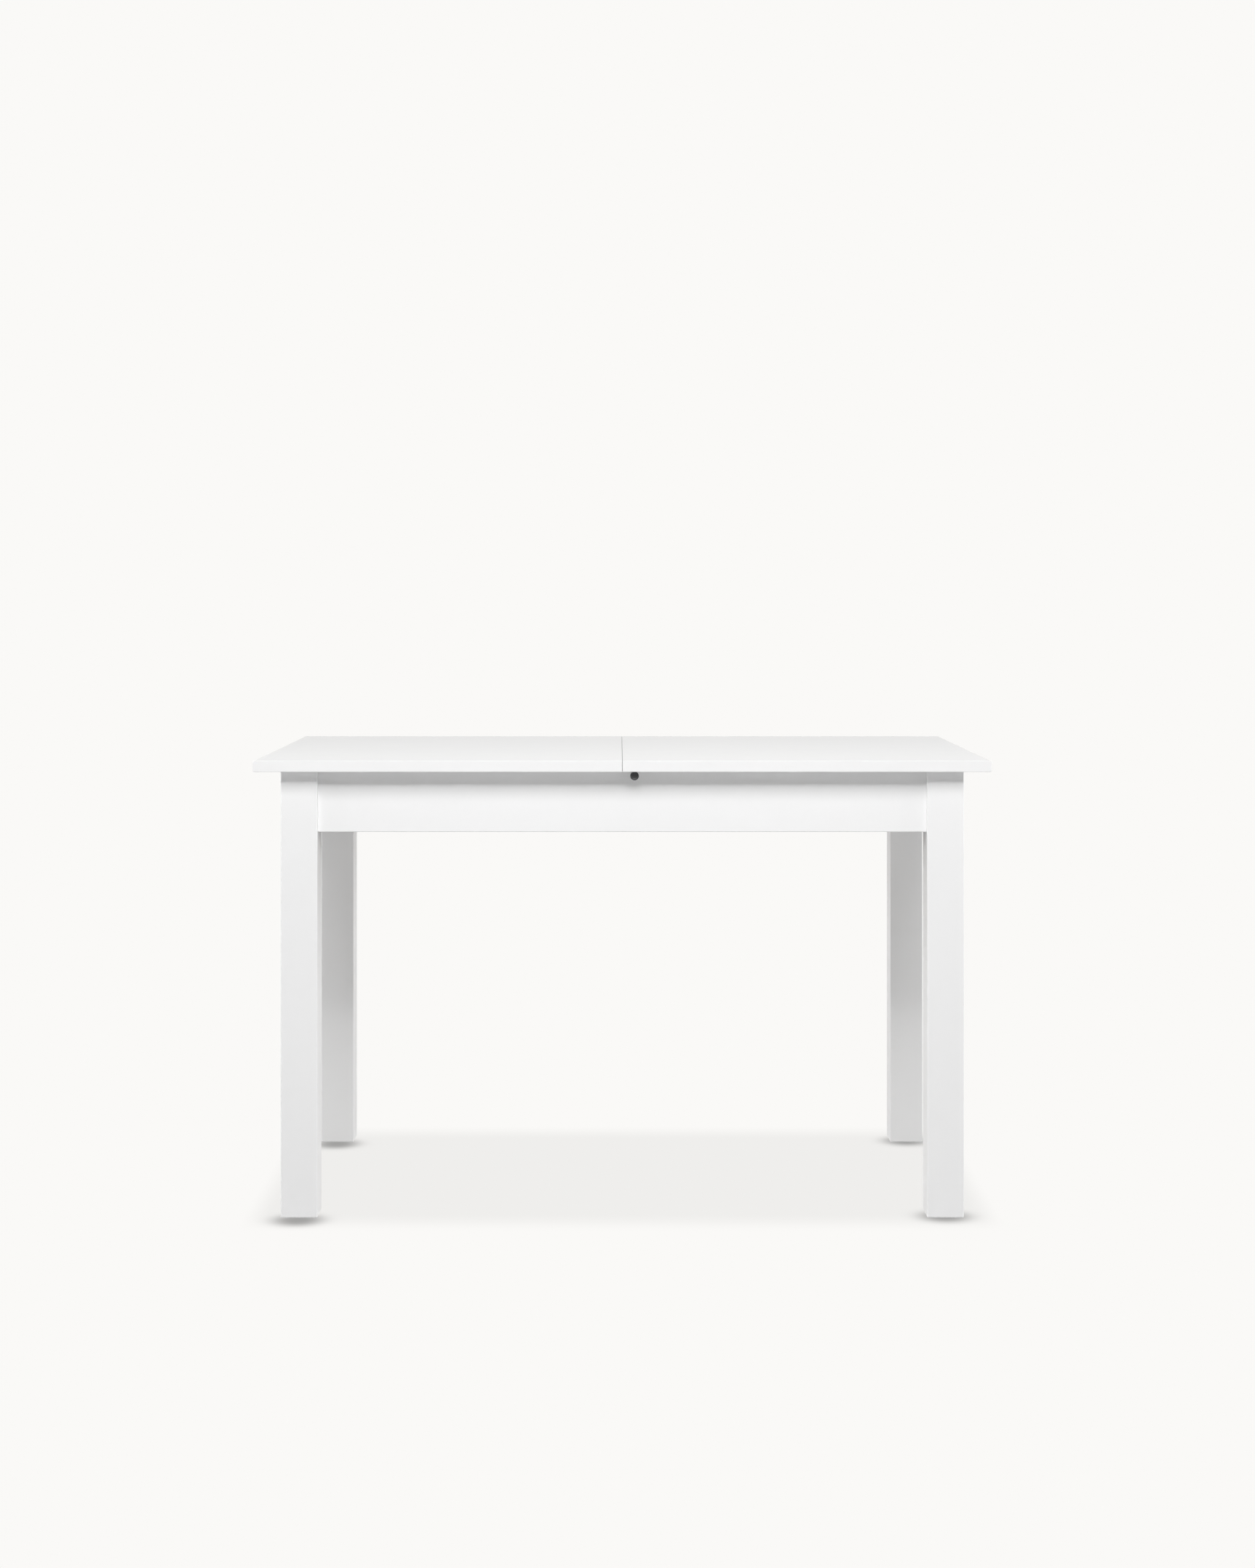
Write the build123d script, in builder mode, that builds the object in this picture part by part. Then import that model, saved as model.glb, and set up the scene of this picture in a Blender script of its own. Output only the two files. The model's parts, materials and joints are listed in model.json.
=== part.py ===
from build123d import *
import os

# Extension dining table with a split top, at real size, in millimetres.
# X runs along the table's length, the front is at -Y, the floor is z = 0 and +Z is up.
# The table looks the same when it is turned half round about Z, so many pieces are made once
# and turned: right half to left half, front apron to back apron, front catch to back catch.

# ---- driving dimensions ----
table_length = 1200.0
table_width = 700.0
table_height = 750.0
top_thickness = 18.0
top_end_radius = 3.0
top_arris = 1.0
seam_half_gap = 0.4
end_overhang = 41.5
side_overhang = 30.0
travel = 200.0

leg_size = 60.0
leg_edge_radius = 1.5
leg_foot_gap = 1.0
apron_height = 99.0
apron_thickness = 18.0
apron_setback = 8.0
glide_strip_thickness = 2.0

# ---- levels and planes worked out from them ----
underside = table_height - top_thickness
frame_top = underside - glide_strip_thickness
apron_bottom = frame_top - apron_height
frame_x = table_length / 2 - end_overhang
frame_y = table_width / 2 - side_overhang
leg_x = frame_x - leg_size / 2
leg_y = frame_y - leg_size / 2
leg_inner_x = frame_x - leg_size
leg_inner_y = frame_y - leg_size
side_apron_y = frame_y - apron_setback - apron_thickness / 2
side_inner_y = side_apron_y - apron_thickness / 2
end_apron_x = frame_x - apron_setback - apron_thickness / 2
end_inner_x = end_apron_x - apron_thickness / 2

# ---- runners and guide rails ----
running_gap = 0.5
tongue_play = 0.4
tongue_depth = 8.0
tongue_height = 8.0
tongue_z = 702.0
rail_inner_y = 260.0
rail_bottom = 678.0
rail_top = 714.0
rail_half_length = 490.0
rail_screw_x = (-440.0, -220.0, 0.0, 220.0, 440.0)
eased_edge = 0.8
runner_bottom = 690.0
runner_thickness = 21.5
runner_half_length = end_inner_x - travel - 2.5
runner_relief = 1.0
outer_runner_y = rail_inner_y - running_gap - runner_thickness / 2
inner_runner_y = outer_runner_y - runner_thickness - running_gap
runner_screw_x = (60.0, 180.0, 300.0)
runner_screw_seat = 708.0
runner_screw_shift = 4.25
runner_bore_radius = 4.6
runner_bore_depth = 20.0
buffer_thickness = 2.2
buffer_radius = 7.0
buffer_z = 718.0

# ---- bearers and stored leaf ----
bearer_x = 150.0
bearer_width = 40.0
bearer_bottom = 646.0
bearer_top = 676.0
leaf_half_x = travel - seam_half_gap
leaf_half_y = 174.8
leaf_fold_gap = 5.0
leaf_top_z = bearer_top + top_thickness + leaf_fold_gap
hinge_axis_y = table_width / 4
hinge_axis_z = bearer_top + top_thickness + leaf_fold_gap / 2
hinge_x = (-120.0, 120.0)
hinge_width = 50.0
hinge_plate = 2.0
hinge_pin_radius = 1.2
leaf_arris = 0.4

# ---- catch ----
catch_x = 20.0
catch_z = 724.5
catch_rod_radius = 3.0
catch_bore_radius = 3.05
catch_plate = 2.0
catch_ear_y = -280.0
catch_tip_y = -272.5
keeper_face_y = -274.0
keeper_width = 28.0
keeper_depth = 11.0
keeper_drop = 16.0
keeper_hole_radius = 2.7
keeper_screw_dx = 9.0
keeper_screw_y = -267.5
catch_screw_dx = 11.0
catch_screw_drop = 3.5
catch_bracket_width = 30.0
catch_ear_width = 14.0
knob_radius = 7.0
knob_face_y = -338.0
knob_back_y = -326.0

# ---- dowels ----
dowel_radius = 4.0
dowel_length = 30.0
apron_dowel_z = (650.0, 711.0)
seam_dowel_y = (55.0, 295.0)
seam_dowel_out = 10.0
seam_dowel_z = table_height - top_thickness / 2
socket_radius = 4.15
dowel_chamfer = 0.8
socket_spare = 1.0

corner_signs = {"front_left": (-1, -1), "front_right": (1, -1), "back_left": (-1, 1), "back_right": (1, 1)}
both = (-1, 1)
low = (Align.CENTER, Align.CENTER, Align.MIN)
high = (Align.CENTER, Align.CENTER, Align.MAX)
near = (Align.CENTER, Align.MIN, Align.MIN)

os.makedirs("parts", exist_ok=True)


def save(piece, name):
    """Label a finished piece and write its STEP file."""
    piece.part.label = name
    export_step(piece.part, f"parts/{name}.step")


def save_turned(piece, name):
    """Write the same piece again, turned half round about the table's centre."""
    with BuildPart() as turned:
        add(piece.part, rotation=(0, 0, 180))
    save(turned, name)


def facing(x, y, z, direction):
    """The place of a fastener that starts at a point and drives in along a direction."""
    return Plane(origin=(x, y, z), z_dir=direction).location


def half_turn(places):
    """The same places turned half round about the table's centre."""
    return [Location((0, 0, 0), (0, 0, 180)) * place for place in places]


def mirrored_ends(shape):
    """Four copies of a shape, one for each corner of the table."""
    with BuildPart() as group:
        add(shape.part)
        mirror(about=Plane.YZ)
        mirror(about=Plane.XZ)
    return group


# ---- fasteners: each starts at its seat, z = 0, and drives in along +Z ----
def pan_screw(radius, length, head_radius, head_height):
    with BuildPart() as screw:
        Cylinder(radius, length, align=low)
        with Locations((0, 0, -head_height)):
            Cylinder(head_radius, head_height, align=low)
        fillet(screw.edges().sort_by(Axis.Z)[0], head_height / 3)
    return screw


def flat_screw(radius, length, head_radius, head_height):
    with BuildPart() as screw:
        Cylinder(radius, length, align=low)
        Cone(head_radius, radius, head_height, align=low)
    return screw


bracket_screw = pan_screw(radius=1.75, length=14.0, head_radius=3.4, head_height=2.2)
rail_screw = pan_screw(radius=2.0, length=38.0, head_radius=4.0, head_height=3.0)
runner_screw = pan_screw(radius=2.25, length=35.0, head_radius=4.2, head_height=3.0)
keeper_screw = pan_screw(radius=1.5, length=12.0, head_radius=2.8, head_height=1.8)
hinge_screw = flat_screw(radius=1.75, length=12.0, head_radius=3.4, head_height=1.8)

with BuildPart() as dowel:
    Cylinder(dowel_radius, dowel_length)
    chamfer(dowel.edges().filter_by(GeomType.CIRCLE), dowel_chamfer)

# ---- places that a fastener and the pieces it holds share ----
side_dowels = [facing(sx * leg_inner_x, side_apron_y, z, (1, 0, 0)) for sx in both for z in apron_dowel_z]
end_dowels = [facing(end_apron_x, sy * leg_inner_y, z, (0, 1, 0)) for sy in both for z in apron_dowel_z]
leg_dowels = [facing(leg_inner_x, side_apron_y, z, (1, 0, 0)) for z in apron_dowel_z]
leg_dowels += [facing(end_apron_x, leg_inner_y, z, (0, 1, 0)) for z in apron_dowel_z]

bracket_plate = 2.5
bracket_reach = 44.0
bracket_flange = 25.0
bracket_bottom = 634.0
bracket_height = 40.0
bracket_screw_z = (644.0, 664.0)
flange_x = leg_inner_x - bracket_reach - bracket_flange / 2
flange_y = leg_inner_y - bracket_reach - bracket_flange / 2
side_bracket_screws = [
    facing(sx * flange_x, side_inner_y - bracket_plate, z, (0, 1, 0)) for sx in both for z in bracket_screw_z
]
end_bracket_screws = [
    facing(end_inner_x - bracket_plate, sy * flange_y, z, (1, 0, 0)) for sy in both for z in bracket_screw_z
]

angle_size = 20.0
angle_plate = 2.0
angle_height = 24.0
angle_bottom = 649.0
angle_screw_z = (655.0, 667.0)
angle_screw_dx = 12.0
angle_screw_dy = 13.0
angle_x = bearer_x + bearer_width / 2
angle_apron_screws = [
    facing(sx * (angle_x + angle_screw_dx), side_inner_y - angle_plate, z, (0, 1, 0))
    for sx in both
    for z in angle_screw_z
]
angle_bearer_screws = [
    facing(angle_x + angle_plate, sy * (side_inner_y - angle_screw_dy), z, (-1, 0, 0))
    for sy in both
    for z in angle_screw_z
]

stop_y = 186.5
stop_length = 20.0
stop_width = 15.0
stop_height = 14.0
stop_bore_radius = 3.8
stop_screw_seat = bearer_top + 8.0
stop_screws = [facing(bearer_x, sy * stop_y, stop_screw_seat, (0, 0, -1)) for sy in both]

rail_screw_seat = rail_inner_y + 6.0
rail_screw_z = rail_bottom + 8.0
rail_screws = [facing(x, rail_screw_seat, rail_screw_z, (0, 1, 0)) for x in rail_screw_x]

catch_screws = [
    facing(catch_x + sx * catch_screw_dx, -side_inner_y + catch_plate, catch_z - catch_screw_drop, (0, -1, 0))
    for sx in both
]
keeper_screws = [
    facing(catch_x + sx * keeper_screw_dx, keeper_screw_y, underside - catch_plate, (0, 0, 1)) for sx in both
]

# ---- legs ----
corner_flat = 12.0
bolt_radius = 4.0
bolt_z = 654.0
plate_x = leg_inner_x + (end_inner_x - leg_inner_x - bracket_reach) / 2
plate_y = leg_inner_y + (side_inner_y - leg_inner_y - bracket_reach) / 2
bolt_line = Plane(origin=(plate_x, plate_y, bolt_z), z_dir=(1, 1, 0))
bolt_tail = 16.0
bolt_reach = 46.0

with BuildPart() as corner_bolt:
    with BuildSketch(bolt_line.offset(-bolt_tail)):
        Circle(bolt_radius)
    extrude(amount=bolt_tail + bolt_reach)

glide_radius = 13.0
glide_height = 3.0
glide_edge = 0.8
glide_pin_radius = 1.5
glide_pin_length = 12.0
leg_foot_chamfer = 1.0

with BuildPart() as foot_glide:
    with Locations((leg_x, leg_y, 0)):
        Cylinder(glide_radius, glide_height, align=low)
    fillet(foot_glide.edges().sort_by(Axis.Z)[0], glide_edge)
    with Locations((leg_x, leg_y, glide_height)):
        Cylinder(glide_pin_radius, glide_pin_length, align=low)

with BuildPart() as leg:
    with BuildSketch(Plane.XY.offset(leg_foot_gap)):
        with Locations((leg_x, leg_y)):
            Rectangle(leg_size, leg_size)
    extrude(amount=frame_top - leg_foot_gap)
    fillet(leg.edges().filter_by(Axis.Z), leg_edge_radius)
    chamfer(leg.faces().sort_by(Axis.Z)[0].edges(), leg_foot_chamfer)
    # A flat across the inner corner, for the hanger bolt.
    with BuildSketch(Plane.XY.offset(apron_bottom)):
        with BuildLine():
            Polyline(
                (leg_inner_x, leg_inner_y),
                (leg_inner_x + corner_flat, leg_inner_y),
                (leg_inner_x, leg_inner_y + corner_flat),
                close=True,
            )
        make_face()
    extrude(amount=apron_height, mode=Mode.SUBTRACT)
    with Locations(*leg_dowels):
        add(dowel.part, mode=Mode.SUBTRACT)
    add(corner_bolt.part, mode=Mode.SUBTRACT)
    add(foot_glide.part, mode=Mode.SUBTRACT)

for corner, (sx, sy) in corner_signs.items():
    with BuildPart() as placed_leg:
        add(leg.part)
        if sx < 0:
            mirror(about=Plane.YZ, mode=Mode.REPLACE)
        if sy < 0:
            mirror(about=Plane.XZ, mode=Mode.REPLACE)
    save(placed_leg, f"leg_{corner}")

save(mirrored_ends(foot_glide), "foot_glides")

# ---- aprons ----
notch_width = 10.0
notch_bottom = 719.0
apron_edge_radius = 1.5

with BuildPart() as side_apron:
    with BuildSketch(Plane.XY.offset(apron_bottom)):
        with Locations((0, -side_apron_y)):
            Rectangle(2 * leg_inner_x, apron_thickness)
    extrude(amount=apron_height)
    fillet(side_apron.edges().filter_by(Axis.X).group_by(Axis.Z)[0], apron_edge_radius)
    # A notch in the top edge lets the catch's rod through.
    with Locations((catch_x, -side_apron_y, notch_bottom)):
        Box(notch_width, apron_thickness, frame_top - notch_bottom, align=low, mode=Mode.SUBTRACT)
    with Locations(*half_turn(side_dowels)):
        add(dowel.part, mode=Mode.SUBTRACT)
    with Locations(*half_turn(rail_screws)):
        add(rail_screw.part, mode=Mode.SUBTRACT)
    with Locations(*half_turn(side_bracket_screws + angle_apron_screws)):
        add(bracket_screw.part, mode=Mode.SUBTRACT)
    with Locations(*catch_screws):
        add(keeper_screw.part, mode=Mode.SUBTRACT)
save(side_apron, "apron_front")
save_turned(side_apron, "apron_back")

with BuildPart() as end_apron:
    with BuildSketch(Plane.XY.offset(apron_bottom)):
        with Locations((end_apron_x, 0)):
            Rectangle(apron_thickness, 2 * leg_inner_y)
    extrude(amount=apron_height)
    fillet(end_apron.edges().filter_by(Axis.Y).group_by(Axis.Z)[0], apron_edge_radius)
    with Locations(*end_dowels):
        add(dowel.part, mode=Mode.SUBTRACT)
    with Locations(*end_bracket_screws):
        add(bracket_screw.part, mode=Mode.SUBTRACT)
save(end_apron, "apron_right")
save_turned(end_apron, "apron_left")

with BuildPart() as apron_dowels:
    with Locations(*side_dowels, *half_turn(side_dowels), *end_dowels, *half_turn(end_dowels)):
        add(dowel.part)
save(apron_dowels, "apron_dowels")

# ---- corner hardware ----
with BuildPart() as corner_bracket:
    with BuildSketch(Plane.XY.offset(bracket_bottom)):
        with BuildLine():
            Polyline(
                (leg_inner_x - bracket_reach - bracket_flange, side_inner_y),
                (leg_inner_x - bracket_reach, side_inner_y),
                (end_inner_x, leg_inner_y - bracket_reach),
                (end_inner_x, leg_inner_y - bracket_reach - bracket_flange),
            )
            offset(amount=bracket_plate, side=Side.RIGHT)
        make_face()
    extrude(amount=bracket_height)
    add(corner_bolt.part, mode=Mode.SUBTRACT)
    with Locations(*side_bracket_screws, *end_bracket_screws):
        add(bracket_screw.part, mode=Mode.SUBTRACT)
save(mirrored_ends(corner_bracket), "corner_brackets")
save(mirrored_ends(corner_bolt), "corner_bolts")

washer_thickness = 1.6
washer_radius = 8.5
nut_height = 6.5
nut_flat_radius = 6.5
with BuildPart() as corner_washer:
    with BuildSketch(bolt_line.offset(-bracket_plate)):
        Circle(washer_radius)
        Circle(bolt_radius, mode=Mode.SUBTRACT)
    extrude(amount=-washer_thickness)
save(mirrored_ends(corner_washer), "corner_washers")

with BuildPart() as corner_nut:
    with BuildSketch(bolt_line.offset(-bracket_plate - washer_thickness)):
        RegularPolygon(nut_flat_radius, 6, major_radius=False)
        Circle(bolt_radius, mode=Mode.SUBTRACT)
    extrude(amount=-nut_height)
save(mirrored_ends(corner_nut), "corner_nuts")

with BuildPart() as corner_screws:
    with Locations(*side_bracket_screws, *half_turn(side_bracket_screws)):
        add(bracket_screw.part)
    with Locations(*end_bracket_screws, *half_turn(end_bracket_screws)):
        add(bracket_screw.part)
save(corner_screws, "corner_screws")

# ---- glide strips that the half tops rest and slide on ----
strip_width = 12.0
strip_length = 400.0
strip_x = 260.0
with BuildPart() as glide_strips:
    with BuildSketch(Plane.XY.offset(frame_top)):
        with Locations(*[(sx * strip_x, sy * side_apron_y) for sx in both for sy in both]):
            Rectangle(strip_length, strip_width)
        with Locations(*[(sx * end_apron_x, 0) for sx in both]):
            Rectangle(strip_width, strip_length)
    extrude(amount=glide_strip_thickness)
save(glide_strips, "glide_strips")

# ---- guide rails ----
rail_thickness = side_inner_y - rail_inner_y
rail_bore_radius = 4.5
rail_bore_depth = 7.0
with BuildPart() as guide_rail:
    with BuildSketch(Plane.YZ.offset(-rail_half_length)):
        with Locations((rail_inner_y + rail_thickness / 2, (rail_bottom + rail_top) / 2)):
            Rectangle(rail_thickness, rail_top - rail_bottom)
        with Locations((rail_inner_y - tongue_depth / 2, tongue_z)):
            Rectangle(tongue_depth, tongue_height)
    extrude(amount=2 * rail_half_length)
    long_edges = guide_rail.edges().filter_by(Axis.X)
    chamfer(long_edges.group_by(Axis.Z)[0] + long_edges.group_by(Axis.Z)[-1], eased_edge)
    with Locations(*rail_screws):
        add(rail_screw.part, mode=Mode.SUBTRACT)
        Cylinder(rail_bore_radius, rail_bore_depth, align=high, mode=Mode.SUBTRACT)
save(guide_rail, "guide_rail_back")
save_turned(guide_rail, "guide_rail_front")

with BuildPart() as guide_rail_screws:
    with Locations(*rail_screws, *half_turn(rail_screws)):
        add(rail_screw.part)
save(guide_rail_screws, "guide_rail_screws")

# ---- travel buffers that the runners' ends meet at full travel ----
with BuildPart() as travel_buffers:
    for turn in (0, 180):
        for y in (-outer_runner_y, inner_runner_y):
            place = Location((0, 0, 0), (0, 0, turn)) * facing(end_inner_x, y, buffer_z, (-1, 0, 0))
            with Locations(place):
                Cylinder(buffer_radius, buffer_thickness, align=low)
save(travel_buffers, "travel_buffers")

# ---- cross bearers, their angles and the leaf stops ----
with BuildPart() as bearer:
    with Locations((bearer_x, 0, bearer_bottom)):
        Box(bearer_width, 2 * side_inner_y, bearer_top - bearer_bottom, align=low)
    chamfer(bearer.edges().filter_by(Axis.Y), eased_edge)
    with Locations(*angle_bearer_screws, *stop_screws):
        add(bracket_screw.part, mode=Mode.SUBTRACT)
save(bearer, "bearer_right")
save_turned(bearer, "bearer_left")

with BuildPart() as bearer_angle:
    with BuildSketch(Plane.XY.offset(angle_bottom)):
        with Locations((angle_x, side_inner_y)):
            Rectangle(angle_size, angle_plate, align=(Align.MIN, Align.MAX))
            Rectangle(angle_plate, angle_size, align=(Align.MIN, Align.MAX))
    extrude(amount=angle_height)
    with Locations(*angle_apron_screws, *angle_bearer_screws):
        add(bracket_screw.part, mode=Mode.SUBTRACT)
save(mirrored_ends(bearer_angle), "bearer_angles")

with BuildPart() as bearer_screws:
    for places in (angle_apron_screws, angle_bearer_screws):
        with Locations(*places, *half_turn(places)):
            add(bracket_screw.part)
save(bearer_screws, "bearer_screws")

with BuildPart() as leaf_stops:
    with Locations(*[(sx * bearer_x, sy * stop_y, bearer_top) for sx in both for sy in both]):
        Box(stop_length, stop_width, stop_height, align=low)
    chamfer(leaf_stops.faces().group_by(Axis.Z)[-1].edges(), eased_edge)
    with Locations(*stop_screws, *half_turn(stop_screws)):
        add(bracket_screw.part, mode=Mode.SUBTRACT)
        Cylinder(stop_bore_radius, stop_height / 2, align=high, mode=Mode.SUBTRACT)
save(leaf_stops, "leaf_stops")

with BuildPart() as leaf_stop_screws:
    with Locations(*stop_screws, *half_turn(stop_screws)):
        add(bracket_screw.part)
save(leaf_stop_screws, "leaf_stop_screws")

# ---- stored leaf: two panels folded underside to underside ----
leaf_dowel_y = 120.0
leaf_dowel_out = 9.0
hinge_screw_dx = 16.0
hinge_screw_y = hinge_axis_y - 14.0
plate_end_y = 150.0
plate_root_y = hinge_axis_y - leaf_fold_gap / 2 - 0.3
knuckle = hinge_width / 3
knuckle_gap = 0.4


def hinge_screw_places(seat_z, direction):
    """Two screws in each hinge plate."""
    screw_x = [x + sx * hinge_screw_dx for x in hinge_x for sx in both]
    return [facing(x, hinge_screw_y, seat_z, (0, 0, direction)) for x in screw_x]


lower_hinge_screws = hinge_screw_places(bearer_top + top_thickness + hinge_plate, -1)
upper_hinge_screws = hinge_screw_places(leaf_top_z - hinge_plate, 1)
leaf_dowel_shift = dowel_length / 2 - leaf_dowel_out

leaf_dowel_places = []
for name, bottom, dowel_side, screws in (
    ("leaf_panel_lower", bearer_top, -1, lower_hinge_screws),
    ("leaf_panel_upper", leaf_top_z, 1, upper_hinge_screws),
):
    middle = bottom + top_thickness / 2
    seat_x = dowel_side * (leaf_half_x - leaf_dowel_shift)
    seats = [facing(seat_x, sy * leaf_dowel_y, middle, (1, 0, 0)) for sy in both]
    sockets = [facing(-dowel_side * leaf_half_x, sy * leaf_dowel_y, middle, (1, 0, 0)) for sy in both]
    with BuildPart() as leaf_panel:
        with Locations((0, 0, bottom)):
            Box(2 * leaf_half_x, 2 * leaf_half_y, top_thickness, align=low)
        chamfer(leaf_panel.edges(), leaf_arris)
        with Locations(*seats):
            add(dowel.part, mode=Mode.SUBTRACT)
        with Locations(*sockets):
            Cylinder(socket_radius, 2 * (leaf_dowel_out + socket_spare), mode=Mode.SUBTRACT)
        with Locations(*screws):
            add(hinge_screw.part, mode=Mode.SUBTRACT)
    save(leaf_panel, name)
    leaf_dowel_places += seats

with BuildPart() as leaf_dowels:
    with Locations(*leaf_dowel_places):
        add(dowel.part)
save(leaf_dowels, "leaf_dowels")

for name, plate_z, knuckles, screws in (
    ("leaf_hinge_lower_plates", bearer_top + top_thickness, (-knuckle, knuckle), lower_hinge_screws),
    ("leaf_hinge_upper_plates", leaf_top_z - hinge_plate, (0.0,), upper_hinge_screws),
):
    with BuildPart() as hinge_plates:
        for x in hinge_x:
            with Locations((x, plate_end_y, plate_z)):
                Box(hinge_width, plate_root_y - plate_end_y, hinge_plate, align=near)
            for dx in knuckles:
                with Locations((x + dx, plate_root_y, plate_z)):
                    Box(knuckle - knuckle_gap, hinge_axis_y - plate_root_y, hinge_plate, align=near)
                with Locations(Location((x + dx, hinge_axis_y, hinge_axis_z), (0, 90, 0))):
                    Cylinder(leaf_fold_gap / 2, knuckle - knuckle_gap)
            with Locations(Location((x, hinge_axis_y, hinge_axis_z), (0, 90, 0))):
                Cylinder(hinge_pin_radius, hinge_width, mode=Mode.SUBTRACT)
        with Locations(*screws):
            add(hinge_screw.part, mode=Mode.SUBTRACT)
    save(hinge_plates, name)

with BuildPart() as leaf_hinge_pins:
    with Locations(*[Location((x, hinge_axis_y, hinge_axis_z), (0, 90, 0)) for x in hinge_x]):
        Cylinder(hinge_pin_radius, hinge_width)
save(leaf_hinge_pins, "leaf_hinge_pins")

with BuildPart() as leaf_hinge_screws:
    with Locations(*lower_hinge_screws, *upper_hinge_screws):
        add(hinge_screw.part)
save(leaf_hinge_screws, "leaf_hinge_screws")

# ---- half tops: the right one, turned for the left one ----
runner_screw_places = {
    name: [facing(x, y, runner_screw_seat, (0, 0, 1)) for x in runner_screw_x]
    for name, y in (
        ("outer", -outer_runner_y + runner_screw_shift),
        ("inner", inner_runner_y - runner_screw_shift),
    )
}
seam_dowel_shift = dowel_length / 2 - seam_dowel_out
seam_dowel_x = seam_half_gap + seam_dowel_shift
seam_dowel_places = [facing(seam_dowel_x, y, seam_dowel_z, (1, 0, 0)) for y in seam_dowel_y]
seam_sockets = [facing(seam_half_gap, -y, seam_dowel_z, (1, 0, 0)) for y in seam_dowel_y]

with BuildPart() as half_top:
    with BuildSketch(Plane.XY.offset(underside)):
        with Locations((seam_half_gap, 0)):
            Rectangle(table_length / 2 - seam_half_gap, table_width, align=(Align.MIN, Align.CENTER))
    extrude(amount=top_thickness)
    fillet(half_top.edges().filter_by(Axis.Y).group_by(Axis.X)[-1], top_end_radius)
    outline = half_top.edges().group_by(Axis.Y)
    fillet([edge for edge in outline[0] + outline[-1] if edge.center().X > 1.0], top_arris)
    chamfer(half_top.faces().sort_by(Axis.X)[0].edges().group_by(Axis.Z)[-1], seam_half_gap)
    with Locations(*runner_screw_places["outer"], *runner_screw_places["inner"]):
        add(runner_screw.part, mode=Mode.SUBTRACT)
    with Locations(*keeper_screws):
        add(keeper_screw.part, mode=Mode.SUBTRACT)
    with Locations(*seam_dowel_places):
        add(dowel.part, mode=Mode.SUBTRACT)
    with Locations(*seam_sockets):
        Cylinder(socket_radius, 2 * (seam_dowel_out + socket_spare), mode=Mode.SUBTRACT)
save(half_top, "top_right")
save_turned(half_top, "top_left")

with BuildPart() as seam_dowels:
    with Locations(*seam_dowel_places):
        add(dowel.part)
save(seam_dowels, "seam_dowels_right")
save_turned(seam_dowels, "seam_dowels_left")


def make_runner(y, outward, has_tongue, screws):
    """A runner with a groove in its outward face and, on the outer runner, a tongue on its inward face."""
    groove_y = y + outward * (runner_thickness / 2 - (tongue_depth + running_gap) / 2)
    tongue_y = y - outward * (runner_thickness / 2 + tongue_depth / 2)
    with BuildPart() as runner:
        with BuildSketch(Plane.YZ.offset(-runner_half_length)):
            with Locations((y, (runner_bottom + underside) / 2)):
                Rectangle(runner_thickness, underside - runner_bottom)
            with Locations((groove_y, tongue_z)):
                Rectangle(tongue_depth + running_gap, tongue_height + 2 * tongue_play, mode=Mode.SUBTRACT)
            if has_tongue:
                with Locations((tongue_y, tongue_z)):
                    Rectangle(tongue_depth, tongue_height)
        extrude(amount=2 * runner_half_length)
        chamfer(runner.edges().filter_by(Axis.X).group_by(Axis.Z)[0], eased_edge)
        # The end that reaches under the other half stays clear of its underside.
        with Locations((-runner_half_length, y, underside)):
            Box(
                runner_half_length + seam_half_gap,
                runner_thickness,
                runner_relief,
                align=(Align.MIN, Align.CENTER, Align.MAX),
                mode=Mode.SUBTRACT,
            )
        with Locations(*screws):
            add(runner_screw.part, mode=Mode.SUBTRACT)
            Cylinder(runner_bore_radius, runner_bore_depth, align=high, mode=Mode.SUBTRACT)
    return runner


outer_runner = make_runner(-outer_runner_y, -1, True, runner_screw_places["outer"])
save(outer_runner, "runner_right_front")
save_turned(outer_runner, "runner_left_back")
inner_runner = make_runner(inner_runner_y, 1, False, runner_screw_places["inner"])
save(inner_runner, "runner_right_back")
save_turned(inner_runner, "runner_left_front")

with BuildPart() as runner_screws:
    with Locations(*runner_screw_places["outer"], *runner_screw_places["inner"]):
        add(runner_screw.part)
save(runner_screws, "runner_screws_right")
save_turned(runner_screws, "runner_screws_left")

# ---- catch: bracket on the apron, sprung rod with its knob, keeper under the half top ----
catch_line = Plane(origin=(catch_x, 0, catch_z), z_dir=(0, 1, 0))
bracket_y = -side_inner_y + catch_plate
ear_back_y = catch_ear_y + catch_plate

with BuildPart() as catch_bracket:
    with Locations((catch_x, -side_inner_y, rail_top)):
        Box(catch_bracket_width, catch_plate, frame_top - rail_top, align=near)
        Box(catch_ear_width, ear_back_y + side_inner_y, catch_plate, align=near)
    with Locations((catch_x, catch_ear_y, rail_top)):
        Box(catch_ear_width, catch_plate, frame_top - rail_top, align=near)
    with BuildSketch(catch_line.offset(-side_inner_y)):
        Circle(catch_bore_radius)
    extrude(amount=ear_back_y + side_inner_y, mode=Mode.SUBTRACT)
    with Locations(*catch_screws):
        add(keeper_screw.part, mode=Mode.SUBTRACT)
save(catch_bracket, "catch_bracket_front")
save_turned(catch_bracket, "catch_bracket_back")

with BuildPart() as catch_bracket_screws:
    with Locations(*catch_screws, *half_turn(catch_screws)):
        add(keeper_screw.part)
save(catch_bracket_screws, "catch_bracket_screws")

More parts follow.
